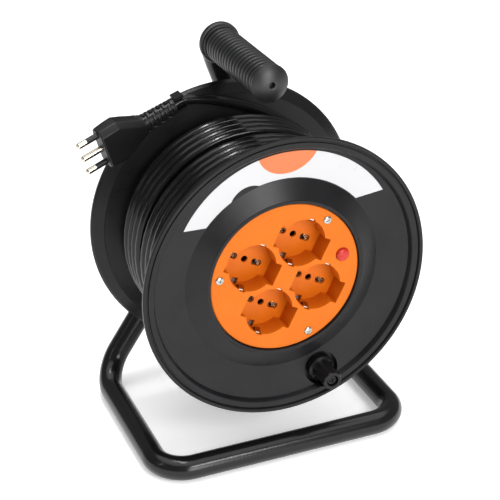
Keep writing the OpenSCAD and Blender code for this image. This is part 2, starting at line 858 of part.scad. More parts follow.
module socket_panel() color(orange) place() {
    difference() {
        union() {
            turned([
                [0, panel_inset], [panel_r - 0.6, panel_inset],
                [panel_r, panel_inset + 0.6], [panel_r, panel_back], [0, panel_back]
            ]);
            for (i = [0 : 3])
                at_socket(i) facing(panel_back - 1, floor_back) well_outline(well_wall);
            post(deck_r, floor_y, floor_back);
            post(centre_boss_r, panel_back - 1, floor_back);
        }
        for (i = [0 : 3])
            at_socket(i) {
                facing(panel_inset - 1, floor_y) well_outline(0);
                facing(panel_inset - 1, floor_back + 1) clip_slots();
                facing(floor_y - 1, floor_back + 1) {
                    circle(r = pin_hole_r);
                    pin_slot(pin_hole_r);
                    mirror([1, 0]) pin_slot(pin_hole_r);
                }
            }
        panel_screw_places() post(panel_shank_r + pass_fit, panel_inset - 1, panel_back + 1);
        button_place() post(button_head_r + face_gap, panel_inset - 1, panel_back + 1);
        post(shank_r + screw_fit, panel_back + 4, floor_back + 1);
    }
}

module panel_screws() color(steel) place() {
    panel_screw_places()
        translate([0, panel_inset, 0])
            screw(panel_head_r, panel_head_h, panel_shank_r, panel_screw_l);
}

// The sleeves for one pole of the four sockets, and the strip that joins their ends
module contact_set(length) {
    end_y = floor_back + length;
    for (i = [0 : 3])
        at_socket(i)
            difference() {
                facing(floor_back, end_y) pin_slot(pin_hole_r + strip_t);
                facing(floor_back - 1, end_y) pin_slot(pin_hole_r);
            }
    panel_frame() facing(end_y, end_y + strip_t) {
        translate([line_x, 0]) square([strip_w, 2 * socket_ring_r + strip_w + 3], center = true);
        translate([line_x, bus_offset]) square([2 * socket_ring_r + strip_w, strip_w], center = true);
        for (s = [-1, 1])
            translate([line_x + s * socket_ring_r - strip_w / 2, -strip_w])
                square([strip_w, bus_offset + strip_w]);
    }
}

module line_contacts() color(brass) place() {
    contact_set(sleeve_contact_l);
}

module neutral_contacts() color(brass) place() {
    rotate([0, 180, 0]) contact_set(sleeve_contact_l + neutral_extra);
}

// A strip bent inwards where it touches the side of a plug
module earth_clip() {
    back_y = floor_back + strip_t;
    translate([-strip_w / 2, 0, 0])
        rotate([90, 0, 90])
            linear_extrude(strip_w)
                polygon([
                    [back_y, clip_back], [13, clip_back], [9, clip_reach], [5, clip_back - 0.2],
                    [5, clip_back - 0.2 + strip_t], [9, clip_reach + strip_t],
                    [13, clip_back + strip_t], [back_y, clip_back + strip_t]
                ]);
}

module earth_contacts() color(brass) place() {
    difference() {
        union() {
            for (i = [0 : 3])
                at_socket(i) {
                    facing(floor_back, floor_back + strip_t)
                        square([strip_w, 2 * (clip_back + strip_t)], center = true);
                    earth_clip();
                    mirror([0, 0, 1]) earth_clip();
                    post(pin_hole_r + strip_t, floor_back, floor_back + sleeve_contact_l);
                }
            panel_frame() facing(floor_back, floor_back + strip_t) {
                square([strip_w, 2 * socket_ring_r], center = true);
                translate([0, -bus_offset - 1]) square([2 * socket_ring_r, strip_w], center = true);
                circle(r = strip_w);
            }
        }
        for (i = [0 : 3])
            at_socket(i) post(pin_hole_r, floor_back - 1, floor_back + sleeve_contact_l + 1);
        post(shank_r + pass_fit, floor_back - 1, floor_back + strip_t + 1);
    }
}

module clamp_places() {
    inlet_frame()
        for (s = [-1, 1]) translate([clamp_x + s * clamp_pitch / 2, 0, clamp_z]) children();
}

module socket_cover() color(dark) place() {
    difference() {
        union() {
            facing(floor_back, cover_back) wells_outline(well_wall, deck_r);
            inlet_frame()
                translate([inlet_x[0], floor_back + 0.6, inlet_z[0]])
                    cube([inlet_x[1] - inlet_x[0], clamp_y - floor_back - 0.6, inlet_z[1] - inlet_z[0]]);
        }
        difference() {
            facing(floor_back - 1, cover_in_y) wells_outline(well_wall - cover_wall, deck_r - cover_wall);
            post(post_r, floor_back + strip_t, cover_back);
        }
        post(shank_r + pass_fit, floor_back, cover_back + 1);
        for (i = [0 : 3])
            at_socket(i)
                facing(floor_back - 1, floor_back + strip_t + set_fit)
                    square([clip_slot_w, 2 * clip_slot_out], center = true);
        inlet_frame()
            translate([clamp_x, clamp_y, inlet_z[0] - 2])
                cylinder(h = inlet_z[1] - inlet_z[0] + 3, r = cord_r + set_fit);
        clamp_places() post(shank_r + screw_fit, clamp_y - 6.5, clamp_y + 1);
    }
}

module cover_screw() color(steel) place() {
    translate([0, cover_back, 0])
        mirror([0, 1, 0]) screw(head_r, head_h, shank_r, cover_depth + cover_screw_grip);
}

module cable_clamp() color(dark) place() {
    base = clamp_y + face_gap;
    difference() {
        inlet_frame()
            translate([clamp_x, base, clamp_z - clamp_w / 2])
                translate([-clamp_pitch / 2 - clamp_head_r, 0, 0])
                    cube([clamp_pitch + 2 * clamp_head_r, clamp_t, clamp_w]);
        inlet_frame()
            translate([clamp_x, clamp_y, 0])
                cylinder(h = 2 * clamp_z, r = cord_r + set_fit);
        clamp_places() post(shank_r + pass_fit, clamp_y, clamp_y + 2 * clamp_t);
    }
}

module clamp_screws() color(steel) place() {
    clamp_places()
        translate([0, clamp_y + face_gap + clamp_t, 0])
            mirror([0, 1, 0]) screw(clamp_head_r, head_h, shank_r, clamp_screw_l);
}

module cutout_body() color(black) place() {
    size = cutout_in + cutout_out;
    back = panel_back + cutout_depth;
    bore_end = button_back + stem_l + button_travel + 1;
    difference() {
        button_place() rotate([0, button_angle - socket_angle + 90, 0]) {
            translate([-cutout_in, panel_back, -cutout_in]) cube([size, cutout_depth, size]);
            for (s = [-4, 2])
                translate([s, back - 1, -5]) cube([strip_t, tab_l + 1, 6.3]);
        }
        button_place() {
            post(button_head_r + face_gap, panel_back - 1, button_back + button_travel + face_gap);
            post(stem_r + run_fit, panel_back, bore_end);
        }
    }
}

module reset_button() color("red") place() {
    edge = button_face + button_h * 0.62;
    dome = [
        for (t = [0 : 15 : 90])
            [button_head_r * sin(t), edge - (edge - button_face) * cos(t)]
    ];
    button_place() turned(concat(
        dome,
        [[button_head_r, button_back], [stem_r, button_back]],
        [[stem_r, button_back + stem_l], [0, button_back + stem_l]]
    ));
}

module crank_knob() color(black) place() {
    skirt_back = pocket_floor - face_gap;
    skirt_front = skirt_back - 7.7;
    stem_y = skirt_front - 1;
    knob_place() difference() {
        turned([
            [spindle_r + run_fit, -knob_reach + knob_recess],
            [spindle_head_r + 0.6, -knob_reach + knob_recess], [spindle_head_r + 0.6, -knob_reach],
            [knob_end_r - 0.8, -knob_reach], [knob_end_r, -knob_reach + 0.8],
            [knob_end_r, -knob_reach + 2.5], [knob_end_r - 0.5, -knob_reach + 7],
            [knob_end_r + 0.3, stem_y - 3], [knob_end_r + 1.2, stem_y],
            [knob_skirt_r - 1, skirt_front], [knob_skirt_r, skirt_front + 1],
            [knob_skirt_r, skirt_back], [spindle_boss_r + 0.4, skirt_back],
            [spindle_boss_r + 0.4, spindle_boss_y - face_gap],
            [spindle_r + run_fit, spindle_boss_y - face_gap]
        ]);
        for (i = [0 : flute_count - 1])
            at_angle(360 * i / flute_count)
                translate([knob_end_r + 0.9, 0, 0]) post(1.6, -knob_reach - 1, stem_y + 0.5);
    }
}

module knob_screw() color(black) place() {
    under_head = -knob_reach + knob_recess - face_gap;
    thread_end = pocket_floor + pocket_wall - 1.2;
    knob_place() difference() {
        turned([
            [0, under_head - spindle_head_t], [spindle_head_r - 0.8, under_head - spindle_head_t],
            [spindle_head_r, under_head - spindle_head_t + 0.8], [spindle_head_r, under_head],
            [spindle_r, under_head], [spindle_r, spindle_boss_y],
            [spindle_thread_r, spindle_boss_y], [spindle_thread_r, thread_end - 1],
            [spindle_thread_r - 1, thread_end], [0, thread_end]
        ]);
        for (turn = [0, 90])
            at_angle(turn)
                translate([-2.6, under_head - spindle_head_t - 1, -0.5])
                    cube([5.2, 2.3, 1]);
    }
}

module cord_tail() color(dark) place() {
    swept([for (p = tail_points) inlet_turn(p)], cord_r, 8);
}

module cord_core() color(dark) place() {
    difference() {
        post(core_r, core_from, core_to);
        post(barrel_r + set_fit, core_from - 1, core_to + 1);
    }
}

module cord_winding() color(dark) place() {
    swept(wind_path, cord_r, 6);
}

module cord_lead() color(dark) place() {
    swept(lead_path, cord_r, 8);
}

module at_plug() {
    translate(plug_at) rotate(plug_turn) children();
}

// A solid of revolution about the plug's axis, from [distance forward, radius] points
module turned_forward(points) {
    rotate([0, 90, 0]) rotate_extrude() polygon([for (p = points) [p[1], p[0]]]);
}

module strain_relief() color(black) place() {
    pitch = relief_l / relief_ribs;
    step = (relief_big_r - relief_small_r) / relief_ribs;
    at_plug() translate([-plug_l, 0, 0]) turned_forward(concat(
        [[0, 0], [0, relief_big_r]],
        [
            for (i = [0 : relief_ribs - 1], s = [[0.1, 0], [0.62, 0], [0.66, 1], [0.96, 1]])
                [-(i + s[0]) * pitch, relief_big_r - i * step - s[1] * 1.2]
        ],
        [[-relief_l, relief_small_r - 0.6], [-relief_l, 0]]
    ));
}

module rounded_box_outline(w, h, r) {
    hull()
        for (x = [-1, 1], y = [-1, 1])
            translate([x * (w / 2 - r), y * (h / 2 - r)]) circle(r = r, $fn = 32);
}

module plug_body() color(black) place() {
    w = plug_w / 2;
    t = plug_t / 2;
    waist_x = plug_l - 14;
    at_plug() difference() {
        intersection() {
            rotate([90, 0, 0]) linear_extrude(plug_t + 2, center = true) polygon([
                [0, -w + 1], [0, w - 1], [-1, w], [-11, w], [-15, w - 0.8],
                [-waist_x, w - 5], [-plug_l, relief_big_r + 0.6], [-plug_l, -relief_big_r - 0.6],
                [-waist_x, -w + 5], [-15, -w + 0.8], [-11, -w], [-1, -w]
            ]);
            linear_extrude(plug_w + 2, center = true) polygon([
                [0, -t + 3], [0, t - 3], [-5, t], [-14, t], [-waist_x + 2, t - 3.5],
                [-plug_l, relief_big_r + 0.4], [-plug_l, -relief_big_r - 0.4],
                [-waist_x + 2, -t + 3.5], [-14, -t], [-5, -t]
            ]);
            rotate([0, -90, 0]) linear_extrude(plug_l) rounded_box_outline(plug_w, plug_t, 7);
        }
        translate([-insert_depth, 0, 0])
            rotate([0, 90, 0])
                linear_extrude(insert_depth + 1)
                    rounded_box_outline(insert_w + 2 * set_fit, insert_t + 2 * set_fit, 5);
        for (z = [-1, 0, 1])
            translate([-pin_root - set_fit, 0, z * plug_pitch / 2])
                rotate([0, 90, 0]) cylinder(h = pin_root + 1, r = pin_neck_r + screw_fit);
    }
}

module plug_insert() color(dark) place() {
    at_plug() difference() {
        translate([-insert_depth, 0, 0])
            rotate([0, 90, 0])
                linear_extrude(insert_depth + insert_proud) rounded_box_outline(insert_w, insert_t, 5);
        for (z = [-1, 0, 1])
            translate([-insert_depth - 1, 0, z * plug_pitch / 2])
                rotate([0, 90, 0])
                    cylinder(h = insert_depth + insert_proud + 2, r = pin_neck_r + screw_fit);
    }
}

// Two turned steps: the stem inside the insulating sleeve, and the free end
module plug_pin(core, bare_from) {
    end = insert_proud + plug_pin_l;
    turned_forward([
        [-pin_root, 0], [-pin_root, pin_neck_r], [-insert_depth - 1, pin_neck_r],
        [-insert_depth - 1, core], [bare_from, core], [bare_from, plug_pin_r],
        [end - pin_tip, plug_pin_r], [end, plug_pin_r - pin_tip], [end, 0]
    ]);
}

module plug_pins() color(steel) place() {
    bare_from = insert_proud + pin_sleeve_l;
    at_plug() {
        for (s = [-1, 1]) translate([0, 0, s * plug_pitch / 2]) plug_pin(sleeve_core_r, bare_from);
        plug_pin(pin_neck_r, neck_end);
    }
}

module pin_sleeves() color(black) place() {
    at_plug() for (s = [-1, 1]) translate([0, 0, s * plug_pitch / 2])
        turned_forward([
            [-insert_depth - 1, sleeve_core_r + screw_fit], [-insert_depth - 1, pin_neck_r],
            [neck_end, pin_neck_r], [neck_end, plug_pin_r],
            [insert_proud + pin_sleeve_l, plug_pin_r],
            [insert_proud + pin_sleeve_l, sleeve_core_r + screw_fit]
        ]);
}

frame_tube();
handle_grip();
axle_collar();
thrust_washer();
retaining_cap();
hub_bush_front();
hub_bush_rear();
front_flange();
drum_barrel();
rear_flange();
info_label();
front_screws();
rear_screws();
socket_panel();
panel_screws();
line_contacts();
neutral_contacts();
earth_contacts();
socket_cover();
cover_screw();
cutout_body();
reset_button();
cable_clamp();
clamp_screws();
crank_knob();
knob_screw();
cord_tail();
cord_core();
cord_winding();
cord_lead();
strain_relief();
plug_body();
plug_insert();
plug_pins();
pin_sleeves();
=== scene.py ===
import json
import math
import bmesh
import bpy
from mathutils import Matrix, Vector


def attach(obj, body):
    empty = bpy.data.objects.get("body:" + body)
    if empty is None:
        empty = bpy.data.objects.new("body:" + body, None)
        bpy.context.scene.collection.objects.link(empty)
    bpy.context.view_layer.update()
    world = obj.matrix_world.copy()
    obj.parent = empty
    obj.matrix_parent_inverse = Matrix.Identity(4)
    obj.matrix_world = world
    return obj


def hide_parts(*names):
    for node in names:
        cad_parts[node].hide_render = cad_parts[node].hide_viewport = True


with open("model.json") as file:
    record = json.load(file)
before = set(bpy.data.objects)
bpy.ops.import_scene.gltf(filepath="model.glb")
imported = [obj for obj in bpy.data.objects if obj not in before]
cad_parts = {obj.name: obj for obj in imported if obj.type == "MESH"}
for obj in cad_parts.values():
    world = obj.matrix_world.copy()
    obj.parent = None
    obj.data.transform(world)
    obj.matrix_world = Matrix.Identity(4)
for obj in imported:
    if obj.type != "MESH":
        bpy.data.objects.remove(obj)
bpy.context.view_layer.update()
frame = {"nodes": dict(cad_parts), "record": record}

rowY = -81.4525  # the drum's front plane in the shared frame, mm
hubHeight = 164.5  # the axle above the floor, mm
cadNodes = frame["nodes"]


def hub(x, y, z):  # mm from the middle of the drum's front plane, to metres in the shared frame
    return Vector((x, y + rowY, z + hubHeight)) * 0.001


def polar(radius, degrees, y):  # a point round the drum's axis, from its right side upwards
    a = math.radians(degrees)
    return (radius * math.cos(a), y, radius * math.sin(a))


def smoothStep(s):
    s = min(max(s, 0.0), 1.0)
    return s * s * (3 - 2 * s)


cameraSet = {
    "azimuth": -22.3835,
    "elevation": 27.1874,
    "roll": -0.3378,
    "distance": 1153.03,
    "target": (0.0, 40.0, 0.0),
    "across": -13.4905,
    "upward": 6.1021,
    "lens": 103.7405,
    "sensor": 36.0,
    "clip": (0.05, 20.0),
}


def makeCamera(c):
    a, e, roll = (math.radians(c[k]) for k in ("azimuth", "elevation", "roll"))
    back = Vector((math.sin(a) * math.cos(e), -math.cos(a) * math.cos(e), math.sin(e)))
    right = Vector((math.cos(a), math.sin(a), 0))
    up = back.cross(right)
    spot = Vector(c["target"]) + right * c["across"] + up * c["upward"] + back * c["distance"]
    rolledRight = right * math.cos(roll) + up * math.sin(roll)
    rolledUp = up * math.cos(roll) - right * math.sin(roll)
    data = bpy.data.cameras.new("camera")
    data.lens = c["lens"]
    data.sensor_width = c["sensor"]
    data.clip_start, data.clip_end = c["clip"]
    cam = bpy.data.objects.new("camera", data)
    bpy.context.scene.collection.objects.link(cam)
    turn = Matrix((rolledRight, rolledUp, back)).transposed().to_4x4()
    cam.matrix_world = Matrix.Translation(hub(*spot)) @ turn
    bpy.context.scene.camera = cam


makeCamera(cameraSet)
print("camera set")


class Num:  # a socket that Python's own operators work on
    def __init__(self, tree, socket):
        self.tree, self.socket = tree, socket

    def calc(self, operation, first, second=0.0):
        made = self.tree.node("ShaderNodeMath", {"operation": operation}, {0: first, 1: second})
        return Num(self.tree, made.outputs[0])

    def __add__(self, other):
        return self.calc("ADD", self, other)

    __radd__ = __add__

    def __mul__(self, other):
        return self.calc("MULTIPLY", self, other)

    __rmul__ = __mul__

    def __sub__(self, other):
        return self.calc("SUBTRACT", self, other)

    def __rsub__(self, other):
        return self.calc("SUBTRACT", other, self)

    def __truediv__(self, other):
        return self.calc("DIVIDE", self, other)

    def __rtruediv__(self, other):
        return self.calc("DIVIDE", other, self)

    def __pow__(self, other):
        return self.calc("POWER", self, other)

    def between(self, low, high):  # 0 up to low, 1 from high on
        made = self.tree.node(
            "ShaderNodeMapRange", {"clamp": True}, {"Value": self, "From Min": low, "From Max": high}
        )
        return Num(self.tree, made.outputs[0])


class Tree:  # a node tree, whose nodes all come from one method
    def __init__(self, data):
        self.data = data

    def node(self, kind, settings, inputs):
        made = self.data.nodes.new(kind)
        for key, value in settings.items():
            setattr(made, key, value)
        for key, value in inputs.items():
            value = value.socket if isinstance(value, Num) else value
            for single in value if isinstance(value, list) else [value]:
                if isinstance(single, bpy.types.NodeSocket):
                    self.data.links.new(single, made.inputs[key])
                else:
                    made.inputs[key].default_value = single
        return made


class Finish(Tree):  # a material's tree round its Principled shader
    def __init__(self, name):
        self.material = bpy.data.materials.new(name)
        self.material.use_nodes = True
        super().__init__(self.material.node_tree)
        self.shader = self.data.nodes["Principled BSDF"]
        self.place = self.node("ShaderNodeTexCoord", {}, {}).outputs["Object"]

    def noise(self, scale, detail=3.0, roughness=0.5):
        made = self.node(
            "ShaderNodeTexNoise", {},
            {"Vector": self.place, "Scale": scale, "Detail": detail, "Roughness": roughness},
        )
        return Num(self, made.outputs[0])

    def coordinate(self, axis):
        parts = self.node("ShaderNodeSeparateXYZ", {}, {0: self.place})
        return Num(self, parts.outputs[axis])

    def mixed(self, factor, first, second):
        return self.node("ShaderNodeMix", {"data_type": "RGBA"}, {0: factor, 6: first, 7: second}).outputs[2]

    def bump(self, height, distance, under=None):
        inputs = {"Height": height, "Distance": distance}
        if under is not None:
            inputs["Normal"] = under
        return self.node("ShaderNodeBump", {}, inputs).outputs[0]

    def set(self, name, value):
        value = value.socket if isinstance(value, Num) else value
        if isinstance(value, bpy.types.NodeSocket):
            self.data.links.new(value, self.shader.inputs[name])
        else:
            self.shader.inputs[name].default_value = value


def rgba(colour):
    return (*colour, 1.0)


plasticSet = {
    "drumPlastic": {
        "dark": (0.008, 0.0076, 0.0084), "light": (0.0115, 0.011, 0.012),
        "rough": 0.29, "spread": 0.1, "grain": 0.00045, "depth": 0.000018, "coat": 0.0, "shine": 0.2,
    },
    "barrelPlastic": {
        "dark": (0.011, 0.011, 0.0118), "light": (0.016, 0.016, 0.017),
        "rough": 0.5, "spread": 0.12, "grain": 0.0005, "depth": 0.00002, "coat": 0.0, "shine": 0.3,
    },
    "knobPlastic": {
        "dark": (0.006, 0.006, 0.0064), "light": (0.009, 0.009, 0.0095),
        "rough": 0.3, "spread": 0.1, "grain": 0.0004, "depth": 0.00001, "coat": 0.0, "shine": 0.24,
    },
    "panelOrange": {
        "dark": (0.545, 0.118, 0.004), "light": (0.585, 0.133, 0.005),
        "rough": 0.34, "spread": 0.1, "grain": 0.00035, "depth": 0.000008, "coat": 0.0, "shine": 0.16,
    },
    "buttonRed": {
        "dark": (0.4, 0.014, 0.008), "light": (0.45, 0.019, 0.011),
        "rough": 0.3, "spread": 0.05, "grain": 0.0006, "depth": 0.000002, "coat": 0.1, "shine": 0.3,
    },
    "bushNylon": {
        "dark": (0.66, 0.63, 0.55), "light": (0.72, 0.69, 0.6),
        "rough": 0.38, "spread": 0.1, "grain": 0.0005, "depth": 0.000006, "coat": 0.0, "shine": 0.3,
    },
    "plugBlack": {
        "dark": (0.0055, 0.0054, 0.006), "light": (0.0085, 0.0084, 0.0092),
        "rough": 0.4, "spread": 0.1, "grain": 0.0004, "depth": 0.000012, "coat": 0.0, "shine": 0.3,
    },
}


def mouldedPlastic(name, c):  # cloudy colour under a fine grain
    f = Finish(name)
    cloud = f.noise(38, 4)
    grain = f.noise(1 / c["grain"], 2, 0.6)
    f.set("Base Color", f.mixed(cloud.between(0.35, 0.75), rgba(c["dark"]), rgba(c["light"])))
    f.set("Roughness", c["rough"] + (cloud - 0.5) * c["spread"] + (grain - 0.5) * c["spread"] / 2)
    f.set("Normal", f.bump(grain, c["depth"]))
    f.set("Coat Weight", c["coat"])
    f.set("Coat Roughness", 0.12)
    f.set("Specular IOR Level", c["shine"])
    return f.material


paintSet = {
    "dark": (0.0045, 0.0043, 0.0046),
    "light": (0.0075, 0.0072, 0.0075),
    "rough": 0.2,
    "cloudScale": 25,
    "cloudRough": 0.08,
    "speckScale": 1500,
    "speckRough": 0.06,
    "speckDepth": 0.00001,
    "peelScale": 420,
    "peelDepth": 0.00005,
    "shine": 0.28,
    "coat": 0.12,
    "coatRough": 0.16,
}


def paintedTube(name, c):  # sprayed paint with a slight orange peel
    f = Finish(name)
    peel = f.noise(c["peelScale"], 2, 0.4)
    cloud = f.noise(c["cloudScale"], 3)
    speck = f.noise(c["speckScale"], 1)
    f.set("Base Color", f.mixed(cloud, rgba(c["dark"]), rgba(c["light"])))
    f.set("Roughness", c["rough"] + (cloud - 0.5) * c["cloudRough"] + (speck - 0.5) * c["speckRough"])
    f.set("Normal", f.bump(peel, c["peelDepth"], under=f.bump(speck, c["speckDepth"])))
    f.set("Specular IOR Level", c["shine"])
    f.set("Coat Weight", c["coat"])
    f.set("Coat Roughness", c["coatRough"])
    return f.material


rubberSet = {
    "dark": (0.006, 0.006, 0.0064),
    "light": (0.0095, 0.0095, 0.01),
    "rough": 0.43,
    "cloudScale": 60,
    "cloudRough": 0.12,
    "grainScale": 2400,
    "grainRough": 0.2,
    "grainDepth": 0.00002,
    "shine": 0.5,
}


def softRubber(name, c):  # matt, with a close grain
    f = Finish(name)
    grain = f.noise(c["grainScale"], 2, 0.7)
    cloud = f.noise(c["cloudScale"], 3)
    f.set("Base Color", f.mixed(cloud.between(0.3, 0.8), rgba(c["dark"]), rgba(c["light"])))
    f.set("Roughness", c["rough"] + (grain - 0.5) * c["grainRough"] + (cloud - 0.5) * c["cloudRough"])
    f.set("Normal", f.bump(grain, c["grainDepth"]))
    f.set("Specular IOR Level", c["shine"])
    return f.material


sheathSet = {
    "dark": (0.004, 0.004, 0.0044),
    "light": (0.0075, 0.0074, 0.008),
    "rough": 0.17,
    "cloudScale": 30,
    "cloudRough": 0.1,
    "grainScale": 1800,
    "grainRough": 0.04,
    "grainDepth": 0.000012,
    "waveScale": 160,
    "waveDepth": 0.00004,
    "shine": 0.28,
}


def glossySheath(name, c):  # the cord's smooth jacket, slightly wavy
    f = Finish(name)
    cloud = f.noise(c["cloudScale"], 4)
    grain = f.noise(c["grainScale"], 2, 0.6)
    wave = f.noise(c["waveScale"], 2)
    f.set("Base Color", f.mixed(cloud, rgba(c["dark"]), rgba(c["light"])))
    f.set("Roughness", c["rough"] + (cloud - 0.5) * c["cloudRough"] + (grain - 0.5) * c["grainRough"])
    f.set("Normal", f.bump(grain, c["grainDepth"], under=f.bump(wave, c["waveDepth"])))
    f.set("Specular IOR Level", c["shine"])
    return f.material


metalSet = {
    "zincSteel": {"colour": (0.46, 0.47, 0.44), "rough": 0.27, "lineDepth": 0.000008, "lineScale": 1100},
    "blackSteel": {"colour": (0.03, 0.03, 0.031), "rough": 0.32, "lineDepth": 0.000006, "lineScale": 900},
    "pinNickel": {"colour": (0.66, 0.61, 0.5), "rough": 0.2, "lineDepth": 0.000004, "lineScale": 900},
    "contactBrass": {"colour": (0.8, 0.66, 0.55), "rough": 0.22, "lineDepth": 0.000008, "lineScale": 900},
    "earthSteel": {"colour": (0.62, 0.57, 0.54), "rough": 0.13, "lineDepth": 0.000006, "lineScale": 900},
}


def bareMetal(name, c):  # faint lines and a duller cloud
    f = Finish(name)
    lines = f.noise(c["lineScale"], 3, 0.6)
    cloud = f.noise(90, 3)
    duller = tuple(part * 0.86 for part in c["colour"])
    f.set("Base Color", f.mixed(cloud, rgba(c["colour"]), rgba(duller)))
    f.set("Metallic", 1.0)
    f.set("Roughness", c["rough"] + (lines - 0.5) * 0.16 + (cloud - 0.5) * 0.12)
    f.set("Normal", f.bump(lines, c["lineDepth"]))
    return f.material


labelSet = {
    "centre": (0.0015, 0.2768),
    "radius": 0.0254,
    "edge": 0.00025,
    "film": (0.47, 0.47, 0.48),
    "paler": (0.7, 0.7, 0.69),
    "field": (0.52, 0.12, 0.02),
    "rough": 0.3,
    "cloudScale": 70,
    "cloudRough": 0.12,
    "waveScale": 240,
    "waveDepth": 0.00003,
    "coat": 0.3,
    "coatRough": 0.12,
}


def labelSheet(name, c):  # a bare film with one round plain field, cut by the film's own edge
    f = Finish(name)
    across = f.coordinate(0) - c["centre"][0]
    upward = f.coordinate(2) - c["centre"][1]
    away = (across * across + upward * upward) ** 0.5
    field = 1 - away.between(c["radius"] - c["edge"], c["radius"] + c["edge"])
    cloud = f.noise(c["cloudScale"], 3)
    film = f.mixed(cloud * 0.1, rgba(c["film"]), rgba(c["paler"]))
    f.set("Base Color", f.mixed(field, film, rgba(c["field"])))
    f.set("Roughness", c["rough"] + (cloud - 0.5) * c["cloudRough"])
    f.set("Normal", f.bump(f.noise(c["waveScale"], 2), c["waveDepth"]))
    f.set("Coat Weight", c["coat"])
    f.set("Coat Roughness", c["coatRough"])
    return f.material


finishes = {
    "tubePaint": paintedTube("tubePaint", paintSet),
    "gripRubber": softRubber("gripRubber", rubberSet),
    "cordSheath": glossySheath("cordSheath", sheathSet),
    "labelFilm": labelSheet("labelFilm", labelSet),
}
for finishName, settings in plasticSet.items():
    finishes[finishName] = mouldedPlastic(finishName, settings)
for finishName, settings in metalSet.items():
    finishes[finishName] = bareMetal(finishName, settings)

slotFinish = {
    "tube_paint": "tubePaint", "grip_rubber": "gripRubber", "zinc_steel": "zincSteel",
    "dark_plastic": "barrelPlastic", "bush_nylon": "bushNylon", "drum_plastic": "drumPlastic",
    "panel_orange": "panelOrange", "contact_brass": "contactBrass", "earth_steel": "earthSteel",
    "button_red": "buttonRed", "cord_sheath": "cordSheath", "plug_black": "plugBlack",
    "black_steel": "blackSteel", "pin_nickel": "pinNickel", "label_white": "labelFilm",
}
nodeSlot = {s["node"]: s["material_slot"] for s in frame["record"]["subparts"]}
for nodeName, cadObject in cadNodes.items():
    finish = "knobPlastic" if nodeName == "crank_knob" else slotFinish[nodeSlot[nodeName]]
    for slot in cadObject.material_slots:
        slot.material = finishes[finish]
print("finishes made")


def meshPiece(name, verts, faces, finish, body):
    data = bpy.data.meshes.new(name)
    data.from_pydata([tuple(v) for v in verts], [], faces)
    data.update()
    for polygon in data.polygons:
        polygon.use_smooth = True
    if finish:
        data.materials.append(finishes[finish])
    piece = bpy.data.objects.new(name, data)
    bpy.context.scene.collection.objects.link(piece)
    if body:
        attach(piece, body)
    return piece


def ringFrames(points):  # a frame at each point that doesn't twist
    tangents = []
    for i in range(len(points)):
        step = points[min(i + 1, len(points) - 1)] - points[max(i - 1, 0)]
        tangents.append(step.normalized())
    side = tangents[0].cross(Vector((0, 1, 0)))
    if side.length < 0.1:
        side = tangents[0].cross(Vector((1, 0, 0)))
    side.normalize()
    frames = []
    for i, t in enumerate(tangents):
        if i:
            side = tangents[i - 1].rotation_difference(t) @ side
            side = (side - t * side.dot(t)).normalized()
        frames.append((side, t.cross(side)))
    return frames


def loftFaces(rings, sides):  # quads from ring to ring, and a cap at each end
    faces = []
    for i in range(rings - 1):
        for k in range(sides):
            a, b = i * sides + k, i * sides + (k + 1) % sides
            faces.append((a, b, b + sides, a + sides))
    last = (rings - 1) * sides
    faces.append(tuple(reversed(range(sides))))
    faces.append(tuple(range(last, last + sides)))
    return faces


def boredFaces(rings, sides):  # an outer and an inner wall, joined at both ends
    faces = []
    inner = rings * sides
    last = (rings - 1) * sides
    for i in range(rings - 1):
        for k in range(sides):
            a, b = i * sides + k, i * sides + (k + 1) % sides
            faces.append((a, b, b + sides, a + sides))
            faces.append((a + inner + sides, b + inner + sides, b + inner, a + inner))
    for k in range(sides):
        a, b = k, (k + 1) % sides
        faces.append((b, a, a + inner, b + inner))
        faces.append((a + last, b + last, b + last + inner, a + last + inner))
    return faces


def tubeMesh(points, radius, sides, bore=0.0):
    frames = ringFrames(points)
    verts = []
    for r in (radius, bore) if bore else (radius,):
        for p, (side, up) in zip(points, frames):
            for k in range(sides):
                a = 2 * math.pi * k / sides
                verts.append(p + (side * math.cos(a) + up * math.sin(a)) * r)
    faces = boredFaces(len(points), sides) if bore else loftFaces(len(points), sides)
    return verts, faces


def latheMesh(outline, sides):  # a closed outline of [radius, height], turned about Z
    verts, faces, rings = [], [], []
    for r, z in outline:
        if r < 1e-9:
            rings.append([len(verts)])
            verts.append(Vector((0, 0, z)))
        else:
            rings.append(list(range(len(verts), len(verts) + sides)))
            for k in range(sides):
                a = 2 * math.pi * k / sides
                verts.append(Vector((r * math.cos(a), r * math.sin(a), z)))
    pairs = list(zip(rings, rings[1:]))
    if len(rings[0]) > 1 and len(rings[-1]) > 1:
        pairs.append((rings[-1], rings[0]))
    for low, high in pairs:
        if len(low) == 1 and len(high) == 1:
            continue
        for k in range(sides):
            n = (k + 1) % sides
            if len(low) == 1:
                faces.append((low[0], high[n], high[k]))
            elif len(high) == 1:
                faces.append((low[k], low[n], high[0]))
            else:
                faces.append((low[k], low[n], high[n], high[k]))
    return verts, faces


def outward(piece):  # merges doubles and turns the faces outwards
    shape = bmesh.new()
    shape.from_mesh(piece.data)
    bmesh.ops.remove_doubles(shape, verts=shape.verts, dist=1e-7)
    bmesh.ops.recalc_face_normals(shape, faces=shape.faces)
    shape.to_mesh(piece.data)
    shape.free()


def creased(piece, degrees):  # smooth over small angles, crisp over the rest
    piece.data.set_sharp_from_angle(angle=math.radians(degrees))


def settled(piece, matrix):  # puts the place into the mesh
    piece.data.transform(matrix)
    piece.data.update()


# local Z runs back through the reel, local X across it
alongDrum = Matrix(((1, 0, 0, 0), (0, 0, 1, 0), (0, -1, 0, 0), (0, 0, 0, 1)))


